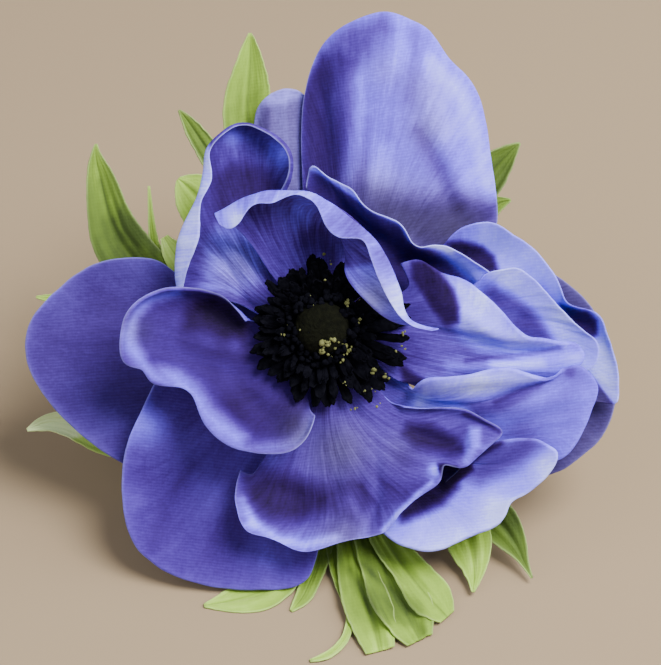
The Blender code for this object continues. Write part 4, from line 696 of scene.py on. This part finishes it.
def leaf_material(name="leaf_fabric", green=1.0):
    material, tree, shader = nodes_for(name)
    n = Net(tree)
    uv = n.add("ShaderNodeUVMap", uv_map="UVMap").outputs[0]
    cloth = n.add("ShaderNodeUVMap", uv_map="Weave").outputs[0]
    look = n.add("ShaderNodeAttribute", attribute_name="look")
    split = n.add("ShaderNodeSeparateColor")
    tree.links.new(look.outputs["Color"], split.inputs[0])
    tone, rim = split.outputs[0], split.outputs[1]
    streak = n.noise(n.scaled(uv, (16.0, 1.4, 1)), 8.0, 3.0, 0.5)
    mottle = n.noise(n.scaled(uv, (5.0, 3.0, 1)), 6.0, 3.0, 0.6)
    weft = n.threads(cloth, 0.0050, 1)
    warp = n.threads(cloth, 0.0044, 0)
    t = n.math("ADD", tone, n.math("MULTIPLY", n.math("SUBTRACT", streak, 0.5), 0.28))
    t = n.math("ADD", t, n.math("MULTIPLY", n.math("SUBTRACT", mottle, 0.5), 0.30))
    t = n.math("ADD", t, n.math("MULTIPLY", n.math("SUBTRACT", weft, 0.5), 0.012), clamp=True)
    colour = n.ramp(t, [(0.0, (0.030, 0.055, 0.004)), (0.3, (0.095, 0.165, 0.012)), (0.55, (0.205, 0.340, 0.030)), (0.8, (0.380, 0.560, 0.110)), (1.0, (0.620, 0.760, 0.360))])
    colour = n.mix(n.math("MULTIPLY", rim, 0.25), colour, (0.50, 0.64, 0.25, 1))
    tree.links.new(colour, shader.inputs["Base Color"])
    shader.inputs["Roughness"].default_value = 0.78
    shader.inputs["Specular IOR Level"].default_value = 0.3
    shader.inputs["Sheen Weight"].default_value = 0.04
    height = n.math("ADD", n.math("MULTIPLY", weft, 0.6), n.math("MULTIPLY", warp, 0.4))
    first = n.bump(height, 0.2, 0.0001)
    tree.links.new(n.bump(streak, 0.4, 0.0005, first), shader.inputs["Normal"])
    return material


def plain_material(name, stops, scale, rough, bump, distance, specular=0.3):
    """A grainy colour from object coordinates."""
    material, tree, shader = nodes_for(name)
    n = Net(tree)
    place = n.add("ShaderNodeTexCoord").outputs["Object"]
    big = n.noise(place, scale, 4.0, 0.6)
    tree.links.new(n.ramp(big, stops), shader.inputs["Base Color"])
    tiny = n.noise(place, scale * 4, 3.0, 0.6)
    r = n.math("MULTIPLY_ADD", tiny, 0.2)
    r.node.inputs[2].default_value = rough - 0.1
    tree.links.new(r, shader.inputs["Roughness"])
    shader.inputs["Specular IOR Level"].default_value = specular
    tree.links.new(n.bump(tiny, bump, distance), shader.inputs["Normal"])
    return material


# ---------------------------------------------------------------- petals
def inside(xy, outline, blur):
    """1 well inside a closed outline on the sheet, 0 well outside, soft over blur units."""
    outline = np.array(outline, float)
    ring = np.concatenate([outline, outline[:1]])
    d, _ = to_line(xy, ring)
    hit = np.zeros(xy.shape[:-1], bool)
    x, y = xy[..., 0], xy[..., 1]
    for (x0, y0), (x1, y1) in zip(ring[:-1], ring[1:]):
        if y0 == y1:
            continue
        hit ^= ((y0 > y) != (y1 > y)) & (x < (x1 - x0) * (y - y0) / (y1 - y0) + x0)
    return smooth(np.where(hit, d, -d), -blur, blur)


def rolled(P, radius, degrees, start, stop):
    """The surface with its rim rolled to the back, strongest between start and stop across it."""
    nt, ns, _ = P.shape
    s = np.linspace(0, 1, ns)
    window = smooth(s, start - 0.06, start + 0.06) * (1 - smooth(s, stop - 0.06, stop + 0.06))
    top = math.radians(degrees)
    length = radius * top
    bend = np.maximum(window * top, 0.03) / length
    cut = np.sin(np.minimum(bend * length, math.pi / 2)) / bend
    extra = 12
    out = np.empty((nt + extra, ns, 3))
    N = normals_of(P)
    for j in range(ns):
        L = lengths(P[:, j])
        end = max(L[-1] - cut[j], L[-1] * 0.5)
        want = np.linspace(0, end, nt)
        col = np.stack([np.interp(want, L, P[:, j, i]) for i in range(3)], -1)
        nor = np.array([np.interp(end, L, N[:, j, i]) for i in range(3)])
        nor /= np.linalg.norm(nor)
        d = col[-1] - col[-3]
        d /= np.linalg.norm(d)
        a = np.linspace(0, length, extra + 1)[1:, None]
        out[:nt, j] = col
        out[nt:, j] = col[-1] + np.sin(bend[j] * a) / bend[j] * d - (1 - np.cos(bend[j] * a)) / bend[j] * nor
    return out


def petal(name, spec):
    look = LOOKS.get(name, {})
    ns, nt = look.get("mesh", (120, 84))
    P = blade(spec["rows"], ns, nt)
    s = np.linspace(0, 1, ns)[None] * np.ones((nt, 1))
    t = np.linspace(0, 1, nt)[:, None] * np.ones((1, ns))
    xy = to_sheet(P)
    seed = sum(map(ord, name)) % 97
    N = normals_of(P)
    lift = np.zeros((nt, ns))
    # soft pleats that fan out from the claw, and crimps that grow towards the rim
    st = np.stack([s * look.get("pleats", 7), t * 1.3, np.full_like(s, seed)], -1)
    lift += look.get("pleat_mm", 0.35) * grain(st, 1.0, seed) * smooth(t, 0.05, 0.5)
    st = np.stack([s * look.get("crimps", 20), t * 3.5, np.full_like(s, seed + 3)], -1)
    lift += look.get("crimp_mm", 0.10) * grain(st, 1.0, seed + 1) * smooth(t, 0.35, 1.0)
    for depth, width, line in look.get("folds", []):
        d, a = to_line(xy, line)
        lift += depth * np.exp(-((d / width) ** 2)) * np.sin(np.clip(a, 0.04, 0.96) * math.pi) ** 0.5
    P = P + N * lift[..., None]
    # the rim wanders a little, as cut cloth does
    wander = grain(np.stack([s * 34, t * 0, np.full_like(s, seed + 9)], -1), 1.0, seed + 2)
    dP = np.gradient(P, axis=0)
    dP /= np.maximum(np.linalg.norm(dP, axis=2, keepdims=True), 1e-9)
    P = P + dP * (0.09 * wander * smooth(t, 0.9, 1.0))[..., None]
    if "roll" in look:
        P = rolled(P, *look["roll"])
        nt = len(P)
        s = np.linspace(0, 1, ns)[None] * np.ones((nt, 1))
        t = np.linspace(0, 1, nt)[:, None] * np.ones((1, ns))
    xy = to_sheet(P)
    thick = 0.24 - 0.10 * smooth(t, 0.6, 1.0)
    V, F = shell(P, thick)
    left = lengths_along(P)
    edge_mm = left[-1][None] - left
    across_mm = lengths_along(P.transpose(1, 0, 2)).T
    side_mm = np.minimum(across_mm, across_mm[:, -1:] - across_mm)
    tone = np.full((nt, ns), look.get("tone", 0.5))
    tone -= look.get("claw", 0.2) * (1 - smooth(t, 0.05, 0.45))
    # painted highlight: lighter towards the cut edge, where the edge catches light
    tone += look.get("edge", 0.12) * np.exp(-edge_mm / 1.1) * (1 - np.exp(-side_mm))
    # painted light and shade: areas, spots and bands set cast shadows, shaded hollows and gaps, and lit ridges and
    # highlights into the tone, over the cloth's own colour
    for target, blur, outline in look.get("areas", []):
        m = inside(xy, outline, blur)
        tone = tone * (1 - m) + target * m
    for x, y, r, delta in look.get("spots", []):
        tone += delta * np.exp(-(((xy[..., 0] - x) ** 2 + (xy[..., 1] - y) ** 2) / r**2))
    for width, delta, line in look.get("bands", []):
        d, _ = to_line(xy, line)
        tone += delta * np.exp(-((d / width) ** 2))
    tone = np.clip(tone, 0, 1)
    # painted highlight: a thin pale line along the cut edge
    rim = look.get("rim", 0.22) * np.exp(-((np.minimum(edge_mm, side_mm + 0.15 / np.maximum(t, 0.05)) / 0.16) ** 2))
    # grey tint that is partly painted shade: greys and darkens the colour over shaded parts and in a few tinted spots
    grey_tint_and_shade = np.full((nt, ns), look.get("grey_tint_and_shade", 0.0))
    for x, y, r, delta in look.get("grey_tint_and_shade_spots", []):
        grey_tint_and_shade += delta * np.exp(-(((xy[..., 0] - x) ** 2 + (xy[..., 1] - y) ** 2) / r**2))
    streaks = np.full((nt, ns), look.get("streaks", 0.3))
    for target, blur, outline in look.get("streak_areas", []):
        m = inside(xy, outline, blur)
        streaks = streaks * (1 - m) + target * m
    back = np.full((nt, ns), look.get("back", 0.7))
    # painted shade and light on the back of the cloth: darker in folds and in shadow, lighter where lit
    for x, y, r, delta in look.get("back_spots", []):
        back += delta * np.exp(-(((xy[..., 0] - x) ** 2 + (xy[..., 1] - y) ** 2) / r**2))
    for target, blur, outline in look.get("back_areas", []):
        m = inside(xy, outline, blur)
        back = back * (1 - m) + target * m
    data = np.concatenate([np.stack([c, rim, grey_tint_and_shade, streaks], -1).reshape(-1, 4) for c in (tone, np.clip(back, 0, 1))])
    across = lengths(P[nt // 2])[-1] / 100
    along = lengths(P[:, ns // 2])[-1] / 100
    uv = np.stack([s * across, t * along], -1).reshape(-1, 2)
    return piece(name + "_cloth", V, F, data, np.concatenate([uv, uv]), PETAL, "petal", name, threads=look.get("threads", 6))


def lengths_along(P):
    return np.concatenate([np.zeros((1, P.shape[1])), np.cumsum(np.linalg.norm(np.diff(P, axis=0), axis=2), axis=0)])


# ---------------------------------------------------------------- stamens, dome, pollen
def straps(name, count, turn, line, seed):
    """One whorl: flat, blunt, ragged-ended straps on a collar that meets the dome."""
    rng = random.Random(seed)
    cx, cy, _ = face((AXIS[0], AXIS[1], 0))
    at = lengths(np.array(line))
    parts = []
    for k in range(count):
        a = math.tau * (k + rng.uniform(-0.3, 0.3)) / count + turn
        reach = 1 + FRINGE_SHIFT * math.cos(a + 0.45) + rng.uniform(-0.2, 0.08) - 0.13 * max(0, math.cos(a + 1.95)) ** 6
        width = rng.uniform(0.55, 0.95) * line[-1][0] / 11
        lean = rng.uniform(-0.09, 0.09)
        rise = rng.uniform(-0.1, 0.55)
        notch = rng.uniform(-0.5, 0.5)
        rows = []
        stations = np.array([0, 0.12, 0.25, 0.4, 0.55, 0.68, 0.79, 0.88, 0.95, 1.0])
        wide = np.array([0.5, 0.52, 0.6, 0.74, 0.9, 1.0, 0.98, 0.9, 0.72, 0.42]) * width
        wide = wide * np.array([1 + rng.uniform(-0.14, 0.14) for _ in stations])
        for f, half in zip(stations, wide):
            d = at[-1] * f
            r = np.interp(d, at, [p[0] for p in line])
            w = np.interp(d, at, [p[1] for p in line]) + rise * f * f + 0.14 * math.sin(5 * f + k) * f
            r = line[0][0] - 0.3 * (1 - f) + (r - line[0][0]) * reach
            b = a + lean * f
            row = []
            for side in (-1, -0.6, -0.2, 0.2, 0.6, 1):
                end = smooth(f, 0.8, 1.0) * (-0.35 * (side - notch) ** 2 + rng.uniform(-0.35, 0.35) * 0.6)
                x = cx + (r + end) * math.cos(b) - side * half * math.sin(b)
                y = cy + (r + end) * math.sin(b) + side * half * math.cos(b)
                row.append((x, y, w + 0.10 * (1 - side * side) + rng.uniform(-0.07, 0.07)))
            rows.append(row)
        P = resampled(np.array(rows), 13, 22)
        P = P + normals_of(P) * (0.14 * grain(P, 2.2, seed + k))[..., None]
        V, F = shell(P, 0.2)
        parts.append((V, F, np.tile([rng.uniform(0.1, 0.7), 0, 0], (len(V), 1)), np.zeros((len(V), 2))))
    A = np.linspace(0, math.tau, 97)
    ring = np.stack([np.stack([cx + r * np.cos(A), cy + r * np.sin(A), np.full(97, line[0][1] - 0.25 + h)], -1) for r, h in ((3.9, -0.25), (4.5, 0.0), (5.4, 0.12), (6.3, 0.3))])
    V, F = shell(ring, 0.2)
    parts.append((V, F, np.tile([0.4, 0, 0], (len(V), 1)), np.zeros((len(V), 2))))
    return piece(name + "_fringe", *merged(parts), STAMEN, "stamens", name)


def resampled(R, ns, nt):
    """A smooth surface through a grid of points."""
    a = np.linspace(0, 1, R.shape[1])
    R = np.stack([spline(r, a, np.linspace(0, 1, ns)) for r in R])
    b = np.linspace(0, 1, R.shape[0])
    return spline(R.reshape(len(R), -1), b, np.linspace(0, 1, nt)).reshape(nt, ns, 3)


def dome():
    sides, rings = 96, 70
    line = np.array(DOME)
    at = lengths(line)
    prof = spline(line, at, np.linspace(0, at[-1], rings))
    cx, cy, _ = face((AXIS[0], AXIS[1], 0))
    A = np.arange(sides) * math.tau / sides
    P = np.stack([np.stack([cx + r * np.cos(A), cy + r * np.sin(A), np.full(sides, d)], -1) for r, d in prof])
    out = P - np.array([cx, cy, -1.0])
    out /= np.linalg.norm(out, axis=2, keepdims=True)
    P = P + out * (0.13 * grain(P, 2.6, 5) + 0.10 * grain(P, 0.8, 6))[..., None] * smooth(P[..., 2], -4, -1)[..., None]
    V = np.concatenate([[[cx, cy, prof[0][1]]], P.reshape(-1, 3), [[cx, cy, prof[-1][1] + 0.05]]])
    F = []
    for j in range(sides):
        k = (j + 1) % sides
        F.append((0, 1 + k, 1 + j))
        for i in range(rings - 1):
            a, b = 1 + i * sides + j, 1 + i * sides + k
            F += [(a, b, b + sides), (a, b + sides, a + sides)]
        F.append((1 + (rings - 1) * sides + j, 1 + (rings - 1) * sides + k, len(V) - 1))
    V, F = facing_out(V, np.array(F))
    n = len(V)
    return piece("centre_dome", V, F, np.tile([0.5, 0, 0], (n, 1)), np.zeros((n, 2)), DOME_LOOK, "centre", "centre")


def crumb(centre, radius, seed):
    """A lumpy grain."""
    rng = random.Random(seed)
    rings, sides = 6, 9
    V = [(0, 0, -1.0)]
    for i in range(1, rings):
        p = math.pi * i / rings
        V += [(math.sin(p) * math.cos(a), math.sin(p) * math.sin(a), -math.cos(p)) for a in np.arange(sides) * math.tau / sides]
    V.append((0, 0, 1.0))
    V = np.array(V)
    V = V * (1 + 0.30 * grain(V, 1.4, seed)[:, None])
    V = V * np.array([rng.uniform(0.8, 1.3), rng.uniform(0.8, 1.3), rng.uniform(0.7, 1.0)]) * radius + np.array(centre)
    F = []
    for j in range(sides):
        k = (j + 1) % sides
        F.append((0, 1 + k, 1 + j))
        for i in range(rings - 2):
            a, b = 1 + i * sides + j, 1 + i * sides + k
            F += [(a, b, b + sides), (a, b + sides, a + sides)]
        F.append((1 + (rings - 2) * sides + j, 1 + (rings - 2) * sides + k, len(V) - 1))
    return facing_out(V, np.array(F))


CRUMBS = [(347, 303, 2.6, 3), (358, 323, 2.4, 3), (352, 335, 2.2, 4), (345, 346, 2.6, 4), (348, 351, 2.4, 3), (322, 343, 3.0, 4), (328, 345, 2.4, 4), (334, 340, 2.2, 4), (322, 352, 2.8, 3), (331, 357, 2.0, 4), (339, 352, 2.0, 3), (343, 360, 2.0, 2), (308, 299, 1.3, 2), (313, 305, 1.0, 2), (324, 254, 1.8, 1), (331, 264, 1.2, 2), (325, 280, 1.4, 1), (374, 370, 2.4, 2), (385, 377, 2.0, 3), (396, 326, 1.6, 1), (403, 333, 1.5, 3), (402, 346, 1.4, 3), (396, 351, 1.4, 2), (355, 409, 1.4, 3), (377, 407, 1.4, 3), (345, 382, 1.0, 3), (288, 325, 1.2, 2), (284, 335, 1.2, 2), (365, 391, 1.0, 2), (372, 389, 1.0, 2), (300, 330, 0.9, 2), (360, 300, 1.0, 2)]


def pollen():
    rng = random.Random(11)
    ax, ay, _ = face((AXIS[0], AXIS[1], 0))
    top = [p for p in DOME if p[1] >= -1.0][::-1]
    parts = []
    for x, y, r, count in CRUMBS:
        for i in range(count):
            sx, sy = (x, y) if i == 0 else (x + rng.uniform(-5, 5), y + rng.uniform(-4, 4))
            size = r * UNIT_MM * (1.0 if i == 0 else rng.uniform(0.45, 0.8))
            px, py, _ = face((sx, sy, 2.5))
            d = math.hypot(px - ax, py - ay)
            if d < 4.2:
                w = np.interp(d, [p[0] for p in top], [p[1] for p in top])
            elif d < 8.0:
                w = 0.9 + (d - 4.2) * 0.45
            else:
                w = 2.4 - (d - 8.0) * 0.42
            V, F = crumb((px, py, w + 0.15), size, int(x * 3 + y + i))
            parts.append((V, F, np.tile([rng.uniform(0.3, 0.9), 0, 0], (len(V), 1)), np.zeros((len(V), 2))))
    return piece("pollen_grains", *merged(parts), POLLEN, "centre")


def anthers():
    """Small black knobs that crowd round the dome and break its edge."""
    rng = random.Random(4)
    cx, cy, _ = face((AXIS[0], AXIS[1], 0))
    parts = []
    for k in range(150):
        a = math.tau * k / 150 * 7 + rng.uniform(-0.2, 0.2)
        r = 3.35 + 2.6 * rng.random() ** 0.8 + 0.35 * math.sin(2 * a + 1)
        w = 2.15 - 0.9 * abs(r - 4.2) / 1.2 + rng.uniform(-0.25, 0.35)
        V, F = crumb((cx + r * math.cos(a), cy + r * math.sin(a), w), rng.uniform(0.28, 0.52), 300 + k)
        parts.append((V, F, np.tile([rng.uniform(0.1, 0.8), 0, 0], (len(V), 1)), np.zeros((len(V), 2))))
    return piece("anther_knobs", *merged(parts), STAMEN, "stamens")


# ---------------------------------------------------------------- bracts and stem
def bract(name, kind, lobes):
    parts = []
    for k, lobe in enumerate(lobes):
        ns, nt = 33, 90
        P = blade(lobe_rows(kind, lobe), ns, nt)
        s = np.linspace(-1, 1, ns)[None] * np.ones((nt, 1))
        t = np.linspace(0, 1, nt)[:, None] * np.ones((1, ns))
        half = np.linalg.norm(P[:, -1] - P[:, 0], axis=1)[:, None] / 2
        N = normals_of(P)
        sign = np.sign(N[..., 2].mean()) or 1.0
        N = N * sign
        seed = len(name) * 5 + k
        limit = np.minimum(half * 0.22, 1.0)
        lift = -0.55 * limit * np.exp(-((s / 0.16) ** 2)) + limit * 0.8 * grain(np.stack([s * 1.6, t * 3.0, np.full_like(s, seed)], -1), 1.0, seed)
        lift += limit * 0.35 * grain(np.stack([s * 4.0, t * 2.0, np.full_like(s, seed + 5)], -1), 1.0, seed + 1)
        if kind == "height":
            lift = np.maximum(lift, -0.06) * smooth(t, 0.0, 0.2) + 0.05
        for depth, width, line in LEAF_FOLDS.get(name, []):
            d, a = to_line(to_sheet(P), line)
            lift = lift + depth * np.exp(-((d / width) ** 2)) * np.sin(np.clip(a, 0.04, 0.96) * math.pi) ** 0.5
        P = P + N * lift[..., None]
        edge = grain(np.stack([np.sign(s) * 3 + 5, t * 46, np.full_like(s, seed)], -1), 1.0, seed + 2)
        across = (P[:, -1] - P[:, 0])
        across /= np.maximum(np.linalg.norm(across, axis=1, keepdims=True), 1e-9)
        P = P + across[:, None] * (np.sign(s) * 0.16 * edge * smooth(np.abs(s), 0.8, 1.0) * np.minimum(half, 1))[..., None]
        V, F = shell(P, 0.22)
        tone = 0.50 + 0.20 * smooth(t, 0.55, 1.0) - 0.16 * np.exp(-((s / 0.07) ** 2)) - 0.25 * (1 - smooth(t, 0.05, 0.4))
        tone = tone + LEAF_TONES.get((name, k), 0.0)
        xy = to_sheet(P)
        # partly painted light and shade: the areas and bands of the bract tables above
        for delta, blur, outline in LEAF_AREAS.get(name, []):
            tone = tone + delta * inside(xy, outline, blur)
        for width, delta, line in LEAF_BANDS.get(name, []):
            d, _ = to_line(xy, line)
            tone = tone + delta * np.exp(-((d / width) ** 2))
        tone = np.clip(tone, 0.02, 1)
        rim = np.exp(-(((1 - np.abs(s)) * half / 0.2) ** 2))
        front = np.stack([tone, rim, tone * 0], -1).reshape(-1, 3)
        back = np.stack([tone + 0.14, rim, tone * 0], -1).reshape(-1, 3)
        uv = np.stack([(s + 1) * half.mean() / 100, t * lengths(P[:, ns // 2])[-1] / 100], -1).reshape(-1, 2)
        parts.append((V, F, np.concatenate([front, back] if sign > 0 else [back, front]), np.concatenate([uv, uv])))
    return piece(name + "_leaf", *merged(parts), LEAF, "leaf", name)


def fine_stem():
    sides, along = 40, 160
    line = np.array(STEM)
    at = lengths(line)
    want = np.linspace(0, at[-1], along)
    C = spline(line, at, want)
    R = np.interp(want, at, STEM_R)
    t = np.gradient(C, axis=0)
    t /= np.linalg.norm(t, axis=1, keepdims=True)
    side = np.cross(t, (0, 0, 1.0))
    side /= np.linalg.norm(side, axis=1, keepdims=True)
    up = np.cross(side, t)
    A = np.arange(sides) * math.tau / sides
    ribs = 1 - 0.05 + 0.035 * np.cos(A * 9)[None] + 0.02 * np.cos(A * 5 + want[:, None] * 0.08)
    P = C[:, None] + (R[:, None] * ribs)[..., None] * (np.cos(A)[None, :, None] * side[:, None] + np.sin(A)[None, :, None] * up[:, None])
    V = np.concatenate([[C[0]], P.reshape(-1, 3), [C[-1] - t[-1] * 0.3]]) + np.array(FACE_MM)
    F = []
    for j in range(sides):
        k = (j + 1) % sides
        F.append((0, 1 + k, 1 + j))
        for i in range(along - 1):
            a, b = 1 + i * sides + j, 1 + i * sides + k
            F += [(a, b, b + sides), (a, b + sides, a + sides)]
        F.append((1 + (along - 1) * sides + j, 1 + (along - 1) * sides + k, len(V) - 1))
    V, F = facing_out(V, np.array(F))
    uv = np.concatenate([[[0, 0]], np.stack([np.tile(A * 1.9 / 100, (along, 1)), np.tile(want[:, None] / 100, (1, sides))], -1).reshape(-1, 2), [[0, want[-1] / 100]]])
    tone = np.full(len(V), 0.42)
    tone[-1] = 0.9
    data = np.stack([tone, tone * 0, tone * 0], -1)
    return piece("stem_skin", V, F, data, uv, STEM_LOOK, "stem", "stem", flat=True)


# ---------------------------------------------------------------- build
PETAL = petal_material()
LEAF = leaf_material()
STEM_LOOK = leaf_material("stem_green")
STAMEN = plain_material("stamen_black", [(0.3, (0.0012, 0.0012, 0.0020)), (0.7, (0.0040, 0.0040, 0.0065))], 900, 0.9, 0.15, 0.0003, 0.0)
DOME_LOOK = plain_material("dome_olive", [(0.3, (0.0012, 0.0014, 0.0006)), (0.7, (0.0042, 0.0047, 0.0019))], 1400, 0.9, 0.7, 0.0002, 0.06)
POLLEN = plain_material("pollen_olive", [(0.3, (0.045, 0.050, 0.012)), (0.7, (0.150, 0.155, 0.055))], 1200, 0.85, 0.5, 0.0001, 0.2)

for name, spec in PETALS.items():
    petal(name, spec)
for k, (name, (teeth, turn, line)) in enumerate(WHORLS.items()):
    straps(name, int(teeth * 1.55), turn, line, 20 + k)
anthers()
dome()
pollen()
for name, (kind, lobes) in BRACTS.items():
    bract(name, kind, lobes)
fine_stem()

# ---------------------------------------------------------------- floor, light, camera
floor_mesh = bpy.data.meshes.new("floor")
floor_mesh.from_pydata([(-3, -3, 0), (3, -3, 0), (3, 3, 0), (-3, 3, 0)], [], [(0, 1, 2, 3)])
floor = bpy.data.objects.new("floor", floor_mesh)
bpy.context.scene.collection.objects.link(floor)
paper, _, paper_shader = nodes_for("floor_paper")
paper_shader.inputs["Base Color"].default_value = FLOOR_COLOUR
paper_shader.inputs["Roughness"].default_value = 0.9
paper_shader.inputs["Specular IOR Level"].default_value = 0.1
floor_mesh.materials.append(paper)

world = bpy.data.worlds.new("studio")
world.use_nodes = True
world.node_tree.nodes["Background"].inputs["Color"].default_value = (0.86, 0.90, 1.0, 1)
world.node_tree.nodes["Background"].inputs["Strength"].default_value = WORLD_LIGHT
bpy.context.scene.world = world

MIDDLE = Vector(FACE_MM) / 1000


def softbox(name, place, size, power, colour):
    light = bpy.data.lights.new(name, "AREA")
    light.shape, light.size, light.energy, light.color = "DISK", size, power, colour
    obj = bpy.data.objects.new(name, light)
    obj.location = MIDDLE + Vector(place)
    obj.rotation_euler = (-Vector(place)).to_track_quat("-Z", "Y").to_euler()
    bpy.context.scene.collection.objects.link(obj)


for light in LIGHTS:
    softbox(*light)

camera = bpy.data.cameras.new("camera")
camera.sensor_width = 36
camera.lens = 36 * EYE_MM / (665 * UNIT_MM)
camera.clip_start, camera.clip_end = 0.01, 20
eye = bpy.data.objects.new("camera", camera)
forward = Vector((0, math.cos(TILT), -math.sin(TILT)))
eye.location = MIDDLE - forward * (EYE_MM / 1000)
eye.rotation_euler = forward.to_track_quat("-Z", "Y").to_euler()
bpy.context.scene.collection.objects.link(eye)
bpy.context.scene.camera = eye

bpy.context.view_layer.update()
